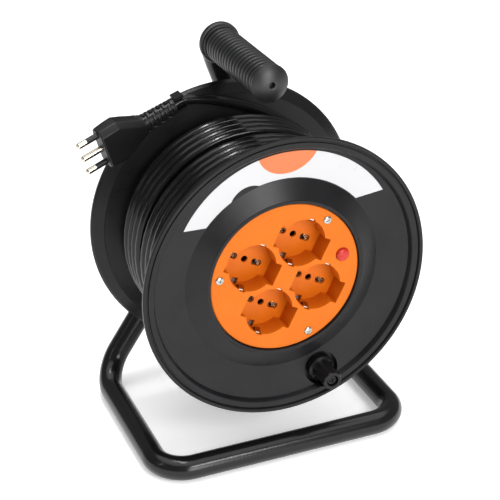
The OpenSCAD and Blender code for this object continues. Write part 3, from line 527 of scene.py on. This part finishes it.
class Rule(Tree):  # a geometry tree with named inputs
    def __init__(self, name, sockets):
        super().__init__(bpy.data.node_groups.new(name, "GeometryNodeTree"))
        face = self.data.interface
        face.new_socket(name="Core", in_out="INPUT", socket_type="NodeSocketGeometry")
        for label, kind in sockets:
            face.new_socket(name=label, in_out="INPUT", socket_type="NodeSocket" + kind)
        face.new_socket(name="Result", in_out="OUTPUT", socket_type="NodeSocketGeometry")
        self.given = self.node("NodeGroupInput", {}, {}).outputs

    def number(self, name):
        return Num(self, self.given[name])

    def index(self):
        return Num(self, self.node("GeometryNodeInputIndex", {}, {}).outputs[0])

    def vector(self, x, y, z):
        return self.node("ShaderNodeCombineXYZ", {}, {0: x, 1: y, 2: z}).outputs[0]

    def section(self, steps):  # the cut of a rib or block, its corners rounded in a few steps
        outline = self.node(
            "GeometryNodeCurvePrimitiveQuadrilateral", {"mode": "RECTANGLE"},
            {"Width": self.number("Depth"), "Height": self.number("Width")},
        ).outputs[0]
        return self.node(
            "GeometryNodeFilletCurve", {"mode": "POLY"},
            {"Curve": outline, "Count": steps, "Radius": self.number("Rounding"), "Limit Radius": True},
        ).outputs[0]

    def row(self):  # points in a line along Z
        return self.node(
            "GeometryNodeMeshLine", {"mode": "OFFSET"},
            {"Count": self.number("Count"), "Start Location": self.vector(0.0, 0.0, self.number("Start")),
             "Offset": self.vector(0.0, 0.0, self.number("Pitch"))},
        ).outputs[0]

    def close(self, geometry):  # real meshes with their finish
        real = self.node("GeometryNodeRealizeInstances", {}, {"Geometry": geometry}).outputs[0]
        smooth = self.node("GeometryNodeSetShadeSmooth", {}, {"Geometry": real}).outputs[0]
        done = self.node(
            "GeometryNodeSetMaterial", {}, {"Geometry": smooth, "Material": self.given["Finish"]}
        ).outputs[0]
        self.node("NodeGroupOutput", {}, {"Result": done})


def grown(piece, rule, values):  # runs a tree on a piece and keeps its result as the plain mesh
    modifier = piece.modifiers.new(rule.data.name, "NODES")
    modifier.node_group = rule.data
    for item in rule.data.interface.items_tree:
        if item.item_type == "SOCKET" and item.in_out == "INPUT" and item.name in values:
            modifier[item.identifier] = values[item.name]
    bpy.context.view_layer.update()
    evaluated = piece.evaluated_get(bpy.context.evaluated_depsgraph_get())
    made = bpy.data.meshes.new_from_object(evaluated)
    piece.modifiers.remove(modifier)
    piece.data = made
    made.name = piece.name


def ribRule():  # rings in a row along Z round a core
    t = Rule("ribRule", (
        ("Count", "Int"), ("Start", "Float"), ("Pitch", "Float"), ("Radius", "Float"), ("Depth", "Float"),
        ("Width", "Float"), ("Rounding", "Float"), ("Finish", "Material"),
    ))
    rail = t.node(
        "GeometryNodeCurvePrimitiveCircle", {}, {"Resolution": 96, "Radius": t.number("Radius")}
    ).outputs[0]
    ring = t.node("GeometryNodeCurveToMesh", {}, {"Curve": rail, "Profile Curve": t.section(4)}).outputs[0]
    rings = t.node("GeometryNodeInstanceOnPoints", {}, {"Points": t.row(), "Instance": ring}).outputs[0]
    t.close(t.node("GeometryNodeJoinGeometry", {}, {"Geometry": [t.given["Core"], rings]}).outputs[0])
    return t


def blockRule():  # rows of curved blocks along Z, each row turned by half a step and drawn in a little
    t = Rule("blockRule", (
        ("Count", "Int"), ("Start", "Float"), ("Pitch", "Float"), ("Radius", "Float"), ("Depth", "Float"),
        ("Width", "Float"), ("Rounding", "Float"), ("Taper", "Float"), ("Blocks", "Int"), ("Span", "Float"),
        ("Finish", "Material"),
    ))
    arc = t.node(
        "GeometryNodeCurveArc", {"mode": "RADIUS"},
        {"Resolution": 9, "Radius": t.number("Radius"), "Start Angle": 0.0, "Sweep Angle": t.number("Span")},
    ).outputs[0]
    block = t.node(
        "GeometryNodeCurveToMesh", {}, {"Curve": arc, "Profile Curve": t.section(3), "Fill Caps": True}
    ).outputs[0]
    around = t.node("GeometryNodePoints", {}, {"Count": t.number("Blocks")}).outputs[0]
    ring = t.node(
        "GeometryNodeInstanceOnPoints", {},
        {"Points": around, "Instance": block,
         "Rotation": t.vector(0.0, 0.0, t.index() * (2 * math.pi) / t.number("Blocks"))},
    ).outputs[0]
    drawn = 1 - t.number("Taper") * t.index() / t.number("Count")
    rows = t.node(
        "GeometryNodeInstanceOnPoints", {},
        {"Points": t.row(), "Instance": ring, "Scale": t.vector(drawn, drawn, 1.0),
         "Rotation": t.vector(0.0, 0.0, t.index() * math.pi / t.number("Blocks"))},
    ).outputs[0]
    t.close(t.node("GeometryNodeJoinGeometry", {}, {"Geometry": [t.given["Core"], rows]}).outputs[0])
    return t


def screwRule():  # copies of one screw head at even angles, each turned by chance
    t = Rule("screwRule", (
        ("Count", "Int"), ("Ring", "Float"), ("First", "Float"), ("Step", "Float"), ("Seed", "Int"),
        ("Finish", "Material"),
    ))
    angle = t.number("First") + t.number("Step") * t.index()
    across = t.number("Ring") * angle.calc("COSINE", angle)
    upward = t.number("Ring") * angle.calc("SINE", angle)
    points = t.node(
        "GeometryNodePoints", {},
        {"Count": t.number("Count"), "Position": t.vector(across, 0.0 - upward, 0.0)},
    ).outputs[0]
    turn = t.node(
        "FunctionNodeRandomValue", {"data_type": "FLOAT"},
        {"Min": 0.0, "Max": math.pi / 2, "ID": t.index(), "Seed": t.number("Seed")},
    )
    spin = [socket for socket in turn.outputs if socket.enabled][0]
    heads = t.node(
        "GeometryNodeInstanceOnPoints", {},
        {"Points": points, "Instance": t.given["Core"], "Rotation": t.vector(0.0, 0.0, spin)},
    ).outputs[0]
    t.close(heads)
    return t


ribs = ribRule()
blocks = blockRule()
screws = screwRule()

frameSet = {
    "points": (
        (0, 58, 0), (0, 166.0806, 0), (-107, 161, -154.5), (-107, 0, -154.5),
        (107, 0, -154.5), (107, 161, -154.5), (0, 171, 149.6), (0, 35, 149.6),
    ),
    "bends": (0, 30, 30, 26, 26, 30, 30, 0),
    "radius": 10.0,
    "wall": 1.5,
    "bendSteps": 26,
    "runStep": 14.0,
    "sides": 64,
    "crease": 50,
}


def bentLine(c):  # straight runs with a true arc at each corner
    corners = [Vector(p) for p in c["points"]]
    line = [corners[0]]
    for i in range(1, len(corners)):
        here = corners[i]
        into = (here - corners[i - 1]).normalized()
        bend = c["bends"][i]
        if bend:
            onward = (corners[i + 1] - here).normalized()
            turn = into.angle(onward)
            arcStart = here - into * bend * math.tan(turn / 2)
            inward = (onward - into * onward.dot(into)).normalized()
            arc = [
                arcStart + inward * bend * (1 - math.cos(a)) + into * bend * math.sin(a)
                for a in (turn * k / c["bendSteps"] for k in range(c["bendSteps"] + 1))
            ]
        else:
            arc = [here]
        last = line[-1]
        steps = max(1, round((arc[0] - last).length / c["runStep"]))
        line += [last.lerp(arc[0], k / steps) for k in range(1, steps)] + arc
    return [hub(*p) for p in line]


def makeFrame(c):
    bore = (c["radius"] - c["wall"]) / 1000
    verts, faces = tubeMesh(bentLine(c), c["radius"] / 1000, c["sides"], bore)
    piece = meshPiece("frameTube", verts, faces, "tubePaint", "frame")
    creased(piece, c["crease"])
    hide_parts("frame_tube")


makeFrame(frameSet)
print("frame tube bent")

gripSet = {
    "start": 29.0,
    "end": 139.95,
    "height": 149.6,
    "bore": 10.15,
    "boreFrom": 6.0,
    "capRadius": 15.15,
    "capDepth": 4.9,
    "capBack": 7.0,
    "holeRadius": 2.1,
    "holeDepth": 4.6,
    "holeLip": (0.75, 0.42),
    "crownFrom": 2.9,
    "crownSteps": 14,
    "coreRadius": 13.5,
    "ringCount": 17,
    "ringStart": 10.4,
    "ringPitch": 5.5,
    "ringRadius": 13.75,
    "ringDepth": 2.0,
    "ringWidth": 3.7,
    "ringRounding": 0.9,
    "flangeRadius": 17.2,
    "flangeWidth": 5.0,
    "stepRadius": 15.6,
    "stepWidth": 2.8,
    "stepGap": 1.3,
    "sides": 96,
    "crease": 38,
}


def gripOutline(c):  # from the middle of the front cap, over the outside, and back through the bore
    length = c["end"] - c["start"]
    hole, core, cap = c["holeRadius"], c["coreRadius"], c["capRadius"]
    lipBack, lipFront = c["holeLip"]
    crown = [(0, c["holeDepth"]), (hole, c["holeDepth"]), (hole, lipBack), (hole + 0.3, lipFront)]
    edge = cap - 0.45
    ball = (edge ** 2 + c["capDepth"] ** 2) / (2 * c["capDepth"])
    for k in range(c["crownSteps"] + 1):
        r = c["crownFrom"] + (edge - c["crownFrom"]) * k / c["crownSteps"]
        crown.append((r, ball - math.sqrt(ball ** 2 - r ** 2)))
    back = c["capBack"]
    rim = [
        (cap, c["capDepth"] + 0.5), (cap, back - 0.4), (cap - 0.3, back),
        (core - 0.6, back + 0.2), (core - 0.6, back + 1.3), (core, back + 1.5),
    ]
    flange, flangeAt = c["flangeRadius"], length - c["flangeWidth"]
    step, stepAt = c["stepRadius"], flangeAt - c["stepWidth"] - c["stepGap"]
    stepTo = stepAt + c["stepWidth"]
    rear = [
        (core, stepAt), (step - 0.7, stepAt), (step, stepAt + 0.6),
        (step, stepTo - 0.6), (step - 0.7, stepTo), (core + 0.6, stepTo + 0.1),
        (core + 0.6, flangeAt), (flange - 1.0, flangeAt), (flange - 0.3, flangeAt + 0.3),
        (flange, flangeAt + 1.1), (flange, length - 1.3), (flange - 0.4, length - 0.4),
        (flange - 1.3, length),
    ]
    return crown + rim + rear + [(c["bore"], length), (c["bore"], c["boreFrom"]), (0, c["boreFrom"])]


def makeGrip(c):
    verts, faces = latheMesh([(r / 1000, z / 1000) for r, z in gripOutline(c)], c["sides"])
    piece = meshPiece("gripSleeve", verts, faces, "gripRubber", "frame")
    outward(piece)
    grown(piece, ribs, {
        "Count": c["ringCount"], "Start": c["ringStart"] / 1000, "Pitch": c["ringPitch"] / 1000,
        "Radius": c["ringRadius"] / 1000, "Depth": c["ringDepth"] / 1000, "Width": c["ringWidth"] / 1000,
        "Rounding": c["ringRounding"] / 1000, "Finish": finishes["gripRubber"],
    })
    creased(piece, c["crease"])
    settled(piece, Matrix.Translation(hub(0, c["start"], c["height"])) @ alongDrum)
    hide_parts("handle_grip")


makeGrip(gripSet)
print("grip moulded")

cordSet = {
    "diameter": 8.0,
    "length": 15.0,
    "sides": 14,
    "step": 7.5,
    "clamp": (34.5, 30.0, 19.5),
    "inletHeights": (24.0, 29.0, 34.0),
    "inletSteps": 18,
    "barrelRadius": 74.0,
    "socketAngle": 63.5,
    "tailTo": 95.6,
    "tailY": 23.0,
    "rearY": 116.2,
    "frontY": 16.875,
    "firstLayerEnd": 3960.0,
    "climb": 40.0,
    "outerStart": 6480.0,
    "outerTurn": 3655.0,
    "outerLay": ((0, 19.0), (5, 61.5), (6, 77.5), (11, 125.0)),  # turns from the top, and mm back
    "lead": (
        (38, 115, 87.9), (28, 115.2, 94), (16, 115.4, 99.6), (2, 115.6, 104.6),
        (-12, 116, 108.9), (-25, 116.4, 112), (-33.5, 116.8, 113),
    ),
    "leadSpacing": 3.0,
    "bootEnd": (-48.41, 115.51, 110.14),
    "beforeBoot": 8.0,
    "intoBoot": 5.0,
}
plugSet = {
    "turn": (-7.0, 19.0, 188.5),
    "stations": (  # distance back, half width, half thickness, half of the flat, half of the side, corner
        (1.7, 16.9, 7.9, 12.6, 3.4, 1.6), (0.0, 16.9, 7.9, 12.6, 3.4, 1.6),
        (0.0, 17.4, 8.5, 13.5, 3.9, 0.7), (0.5, 17.8, 8.9, 13.8, 4.2, 0.6),
        (8.0, 18.5, 9.3, 14.3, 4.6, 0.6), (15.4, 18.8, 9.6, 14.8, 4.8, 0.6),
        (16.4, 18.4, 9.6, 14.2, 4.8, 0.7), (24.0, 14.8, 9.3, 10.0, 4.8, 0.9),
        (32.0, 10.4, 8.6, 5.6, 4.4, 1.5), (38.0, 8.2, 8.0, 3.6, 3.6, 2.6),
    ),
    "ridgeLine": ((16.8, 18.25), (24.0, 14.75), (32.0, 10.35), (34.5, 9.4)),
    "ridgeAcross": (-3.3, -1.1, 1.1, 3.3),
    "ridgeRadius": 0.45,
    "crease": 17,
}
bootSet = {
    "length": 30.0,
    "front": 7.8,
    "back": 6.7,
    "bore": 4.02,
    "rows": 8,
    "firstRow": 0.6,  # this and the next two are parts of an even pitch
    "rowPitch": 0.97,
    "rowWidth": 0.66,
    "blocks": 6,
    "blockSpan": 37.0,
    "blockDepth": 1.8,
    "blockInset": 0.85,
    "blockRounding": 0.35,
    "sides": 48,
    "crease": 30,
}
plugSpin = (
    Matrix.Rotation(math.radians(plugSet["turn"][2]), 4, "Z")
    @ Matrix.Rotation(math.radians(plugSet["turn"][1]), 4, "Y")
    @ Matrix.Rotation(math.radians(plugSet["turn"][0]), 4, "X")
)
plugForward = plugSpin.to_3x3() @ Vector((1, 0, 0))
plugLength = plugSet["stations"][-1][0]
plugAt = Vector(cordSet["bootEnd"]) + plugForward * (plugLength + bootSet["length"])
plugPlace = Matrix.Translation(hub(*plugAt)) @ plugSpin  # the middle of the plug's front face


def outerY(lay, degrees):  # how far back the outer layer lies at an angle of its winding
    turns = (degrees - 90) / 360
    for (low, lowY), (high, highY) in zip(lay, lay[1:]):
        if turns <= high:
            break
    return lowY + (highY - lowY) * (turns - low) / (high - low)


def throughPoints(points, spacing):  # a smooth line through points, evenly sampled
    line = []
    ends = [points[0] * 2 - points[1]] + points + [points[-1] * 2 - points[-2]]
    for i in range(1, len(ends) - 2):
        p0, p1, p2, p3 = ends[i - 1 : i + 3]
        count = max(2, int((p2 - p1).length / spacing))
        for k in range(count):
            s = k / count
            line.append(
                0.5 * ((2 * p1) + (p2 - p0) * s + (2 * p0 - 5 * p1 + 4 * p2 - p3) * s * s
                       + (3 * p1 - p0 - 3 * p2 + p3) * s * s * s)
            )
    line.append(points[-1])
    return line


def cordInlet(c, inner):  # from the clamp inside the barrel, out through its slot to the first layer
    across, back, height = c["clamp"]
    turnTo = math.radians(c["tailTo"])
    bend = (across - inner * math.cos(turnTo)) / (1 - math.cos(turnTo))
    bendZ = (inner - bend) * math.sin(turnTo)
    inlet = [(across, back, z) for z in (height, *c["inletHeights"])]
    for k in range(c["inletSteps"] + 1):
        s = k / c["inletSteps"]
        inlet.append((
            across - bend * (1 - math.cos(s * turnTo)),
            back + (c["tailY"] - back) * smoothStep(s),
            bendZ + bend * math.sin(s * turnTo),
        ))
    tilt = math.radians(c["socketAngle"] + 90)
    cosTilt, sinTilt = math.cos(tilt), math.sin(tilt)
    return [Vector((x * cosTilt - z * sinTilt, y, x * sinTilt + z * cosTilt)) for x, y, z in inlet]


def cordLine(c):  # the inlet, three layers of turns, and the free lead up to the boot
    inner = c["barrelRadius"] + c["diameter"] / 2
    line = cordInlet(c, inner)
    start = c["socketAngle"] + 90 + c["tailTo"]
    secondStart = c["firstLayerEnd"] + c["climb"]
    secondEnd = c["outerStart"] - c["climb"]
    degrees = math.ceil((start + 3) / c["step"]) * c["step"]
    while degrees < c["outerStart"] + c["outerTurn"] - 1:
        if degrees <= c["firstLayerEnd"]:
            layer = 0
            y = c["tailY"] + (c["rearY"] - c["tailY"]) * (degrees - start) / (c["firstLayerEnd"] - start)
        elif degrees < secondStart:
            layer = smoothStep((degrees - c["firstLayerEnd"]) / c["climb"])
            y = c["rearY"]
        elif degrees <= secondEnd:
            layer = 1
            y = c["rearY"] + (c["frontY"] - c["rearY"]) * (degrees - secondStart) / (secondEnd - secondStart)
        elif degrees < c["outerStart"]:
            layer = 1 + smoothStep((degrees - secondEnd) / c["climb"])
            y = c["frontY"]
        else:
            layer = 2
            y = outerY(c["outerLay"], degrees - c["outerStart"])
        line.append(Vector(polar(inner + c["diameter"] * layer, degrees, y)))
        degrees += c["step"]
    outer = inner + c["diameter"] * 2
    turnEnd = Vector(polar(outer, c["outerTurn"], outerY(c["outerLay"], c["outerTurn"])))
    a = math.radians(c["outerTurn"])
    straight = turnEnd + Vector((-math.sin(a), 0, math.cos(a))) * c["diameter"]
    lead = [turnEnd, straight] + [Vector(p) for p in c["lead"]]
    bootEnd = Vector(c["bootEnd"])
    lead += [bootEnd - plugForward * c["beforeBoot"], bootEnd, bootEnd + plugForward * c["intoBoot"]]
    return [hub(*p) for p in line + throughPoints(lead, c["leadSpacing"])]


def cornerLoop(wide, thick, flat, side, soft):  # an octagon with softened corners, as [z, y] points
    corners = [
        Vector(c) for c in (
            (flat, thick), (-flat, thick), (-wide, side), (-wide, -side),
            (-flat, -thick), (flat, -thick), (wide, -side), (wide, side),
        )
    ]
    loop = []
    for i, here in enumerate(corners):
        before = (corners[i - 1] - here).normalized() * soft
        after = (corners[(i + 1) % 8] - here).normalized() * soft
        for k in range(5):
            s = k / 4
            loop.append(here + before * (1 - s) ** 2 + after * s ** 2)
    return loop


def makePlugShell(c):
    loops = [(station[0], cornerLoop(*station[1:])) for station in c["stations"]]
    verts = [Vector((-back, y, z)) / 1000 for back, loop in loops for z, y in loop]
    faces = loftFaces(len(loops), len(loops[0][1]))
    for side in (-1, 1):  # thin finger ridges along both narrow sides
        for across in c["ridgeAcross"]:
            line = [Vector((-back, across, side * out)) / 1000 for back, out in c["ridgeLine"]]
            bar, quads = tubeMesh(line, c["ridgeRadius"] / 1000, 10)
            base = len(verts)
            verts += bar
            faces += [tuple(base + i for i in quad) for quad in quads]
    piece = meshPiece("plugShell", verts, faces, "plugBlack", "drum")
    outward(piece)
    creased(piece, c["crease"])
    settled(piece, plugPlace)
    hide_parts("plug_body")
    return piece


def makeStrainBoot(c):
    length, front, back = c["length"], c["front"], c["back"]
    pitch = length / c["rows"] / 1000
    core = [
        (c["bore"], 0.0), (front, 0.0), (front, 0.7), (front - 1.5, 1.0), (back - 1.1, length - 1.4),
        (back, length - 1.2), (back, length - 0.3), (back - 0.3, length), (c["bore"], length),
    ]
    verts, faces = latheMesh([(r / 1000, z / 1000) for r, z in core], c["sides"])
    piece = meshPiece("strainBoot", verts, faces, "plugBlack", "drum")
    outward(piece)
    grown(piece, blocks, {
        "Count": c["rows"], "Start": c["firstRow"] * pitch, "Pitch": c["rowPitch"] * pitch,
        "Radius": (front - c["blockInset"]) / 1000, "Depth": c["blockDepth"] / 1000,
        "Width": c["rowWidth"] * pitch,
        "Rounding": c["blockRounding"] / 1000, "Taper": 1 - back / front, "Blocks": c["blocks"],
        "Span": math.radians(c["blockSpan"]), "Finish": finishes["plugBlack"],
    })
    creased(piece, c["crease"])
    backward = Matrix(((0, 0, -1, 0), (1, 0, 0, 0), (0, -1, 0, 0), (0, 0, 0, 1)))
    settled(piece, plugPlace @ Matrix.Translation((-plugLength / 1000, 0, 0)) @ backward)
    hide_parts("strain_relief")
    return piece


pinSet = {
    "pitch": 26.0,
    "radius": 2.5,
    "stemRadius": 2.25,
    "sleevedRadius": 1.95,
    "from": -12.0,
    "neckAt": -2.5,
    "bareFrom": 1.0,
    "sleeveEnd": 10.5,
    "end": 19.5,
    "tipLength": 2.3,
    "sides": 40,
    "crease": 35,
}


def makePins(c):  # three pins with round tips, the outer two thinner inside their sleeves
    verts, faces = [], []
    tip = [
        (c["radius"] * math.cos(t), c["end"] - c["tipLength"] * (1 - math.sin(t)))
        for t in (math.radians(90 * k / 9) for k in range(9))
    ] + [(0, c["end"])]
    for across in (-1, 0, 1):
        core, bare = (c["sleevedRadius"], c["sleeveEnd"]) if across else (c["stemRadius"], c["bareFrom"])
        stem = [
            (0, c["from"]), (c["stemRadius"], c["from"]), (c["stemRadius"], c["neckAt"]),
            (core, c["neckAt"]), (core, bare), (c["radius"], bare),
        ]
        lathe, quads = latheMesh([(r / 1000, z / 1000) for r, z in stem + tip], c["sides"])
        base = len(verts)
        verts += [v + Vector((0, across * c["pitch"] / 2000, 0)) for v in lathe]
        faces += [tuple(base + i for i in quad) for quad in quads]
    piece = meshPiece("plugPins", verts, faces, "pinNickel", "drum")
    outward(piece)
    creased(piece, c["crease"])
    forward = Matrix(((0, 0, 1, 0), (1, 0, 0, 0), (0, 1, 0, 0), (0, 0, 0, 1)))
    settled(piece, plugPlace @ forward)
    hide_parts("plug_pins")
    return piece


plugShell = makePlugShell(plugSet)
strainBoot = makeStrainBoot(bootSet)
plugPins = makePins(pinSet)
print("plug and its boot moulded")

route = cordLine(cordSet)
routeLength = sum((b - a).length for a, b in zip(route, route[1:]))
print("cord is %.3f m long, with %d points" % (routeLength, len(route)))
verts, faces = tubeMesh(route, cordSet["diameter"] / 2000, cordSet["sides"])
cord = meshPiece("cord", verts, faces, "cordSheath", "drum")
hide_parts("cord_tail", "cord_core", "cord_winding", "cord_lead")
print("cord wound")

screwSet = {
    "panel": {
        "count": 3, "ring": 55.8, "first": 51.0, "step": 120.0, "depth": 2.9, "back": False,
        "head": 3.3, "height": 1.6, "shank": 1.45, "length": 12.0, "node": "panel_screws", "seed": 4,
    },
    "rear": {
        "count": 4, "ring": 64.0, "first": 18.5, "step": 90.0, "depth": 123.5, "back": True,
        "head": 3.2, "height": 2.4, "shank": 1.6, "length": 15.0, "node": "rear_screws", "seed": 9,
    },
}
headSet = {"shoulder": 0.28, "steps": 8, "sides": 56, "crease": 32}  # the shoulder is a part of the height
recessSet = {"arm": 0.6, "width": 0.13, "depth": 0.75}  # parts of the head's radius and height


def makeRecess(name, r, h, c):  # the cutter, a cross of two bars that narrow towards the bottom
    verts, faces = [], []
    arm, wide, deep = r * c["arm"], r * c["width"], h * c["depth"]
    for turned in (False, True):
        first = len(verts)
        for reach, half, z in ((arm * 1.15, wide * 1.05, -h - 0.3), (arm * 0.45, wide * 0.8, -h + deep)):
            for sx, sy in ((-1, -1), (1, -1), (1, 1), (-1, 1)):
                x, y = (-sy * half, sx * reach) if turned else (sx * reach, sy * half)
                verts.append(Vector((x, y, z)) / 1000)
        for quad in ((0, 1, 2, 3), (7, 6, 5, 4), (0, 4, 5, 1), (1, 5, 6, 2), (2, 6, 7, 3), (3, 7, 4, 0)):
            faces.append(tuple(first + v for v in quad))
    cutter = meshPiece(name + "Cutter", verts, faces, None, None)
    outward(cutter)
    return cutter


def makeScrews(name, c):  # a domed head with a cross recess, its front towards -Z
    h, r = c["height"], c["head"]
    low, steps = headSet["shoulder"], headSet["steps"]
    outline = [(0, -h)]
    for k in range(1, steps + 1):
        t = math.radians(90 * k / steps)
        outline.append((r * math.sin(t), -h * low - h * (1 - low) * math.cos(t)))
    outline += [(r, 0), (c["shank"], 0), (c["shank"], c["length"] - c["shank"]), (0, c["length"])]
    verts, faces = latheMesh([(x / 1000, z / 1000) for x, z in outline], headSet["sides"])
    piece = meshPiece(name, verts, faces, "zincSteel", "drum")
    outward(piece)
    cutter = makeRecess(name, r, h, recessSet)
    cut = piece.modifiers.new("recess", "BOOLEAN")
    cut.object = cutter
    cut.operation = "DIFFERENCE"
    cut.solver = "EXACT"
    cut.use_self = True  # the two bars of the cross overlap
    bpy.context.view_layer.update()
    shape = bpy.data.meshes.new_from_object(piece.evaluated_get(bpy.context.evaluated_depsgraph_get()))
    piece.modifiers.remove(cut)
    piece.data = shape
    bpy.data.objects.remove(cutter)
    if c["back"]:
        settled(piece, Matrix.Rotation(math.pi, 4, "X"))
    grown(piece, screws, {
        "Count": c["count"], "Ring": c["ring"] / 1000, "First": math.radians(c["first"]),
        "Step": math.radians(c["step"]), "Seed": c["seed"], "Finish": finishes["zincSteel"],
    })
    creased(piece, headSet["crease"])
    settled(piece, Matrix.Translation(hub(0, c["depth"], 0)) @ alongDrum)
    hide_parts(c["node"])


for label, settings in screwSet.items():
    makeScrews(label + "Screws", settings)
print("screws driven")

stageSet = {
    "floor": 6.0,
    "colour": (0.95, 0.95, 0.95),
    "cloud": (0.86, 0.86, 0.86),
    "rough": 0.9,
    "glow": 0.36,
    "world": 0.24,
}
lightSet = {
    "sky": {"from": (0.1, 0.0, 2.0), "spread": 75.0, "power": 2.0},
    "panels": (  # name, place, width and height, power
        ("keyPanel", (0.2, -1.25, 0.88), (0.5, 0.3), 8.0),
        ("fillPanel", (0.1, -1.7, 0.42), (0.7, 0.7), 12.0),
        ("topPanel", (-0.12, 0.0, 1.4), (0.5, 0.07), 6.5),
        ("leftPanel", (-1.4, -0.2, 0.9), (0.09, 0.7), 0.9),
    ),
}


def makeStage(c):
    h = c["floor"]
    floor = meshPiece("floor", [(-h, -h, 0), (h, -h, 0), (h, h, 0), (-h, h, 0)], [(0, 1, 2, 3)], None, None)
    f = Finish("floorFinish")
    f.set("Base Color", f.mixed(f.noise(2, 2) * 0.1, rgba(c["colour"]), rgba(c["cloud"])))
    f.set("Roughness", c["rough"])
    f.set("Emission Color", (1, 1, 1, 1))
    f.set("Emission Strength", c["glow"])
    floor.data.materials.append(f.material)
    world = bpy.data.worlds.new("studio")
    bpy.context.scene.world = world
    world.use_nodes = True
    t = Tree(world.node_tree)
    seen = Num(t, t.node("ShaderNodeLightPath", {}, {}).outputs["Is Camera Ray"])
    air = t.data.nodes["Background"]
    air.inputs["Color"].default_value = (1, 1, 1, 1)
    # white to look at, and dimmer as a light
    t.data.links.new((seen * (1 - c["world"]) + c["world"]).socket, air.inputs["Strength"])


def makeLights(c):
    def lit(data, at, aim):
        light = bpy.data.objects.new(data.name, data)
        bpy.context.scene.collection.objects.link(light)
        way = Vector(aim) - Vector(at)
        turn = way.to_track_quat("-Z", "Y").to_matrix().to_4x4()
        light.matrix_world = Matrix.Translation(Vector(at)) @ turn

    sky = bpy.data.lights.new("sky", "SUN")
    sky.angle = math.radians(c["sky"]["spread"])
    sky.energy = c["sky"]["power"]
    lit(sky, c["sky"]["from"], (0, 0, 0))
    for name, at, size, power in c["panels"]:
        data = bpy.data.lights.new(name, "AREA")
        data.shape = "RECTANGLE"
        data.size, data.size_y = size
        data.energy = power
        lit(data, at, (0, 0, 0.15))


makeStage(stageSet)
makeLights(lightSet)
bpy.context.scene.view_settings.view_transform = "Standard"
print("stage set")
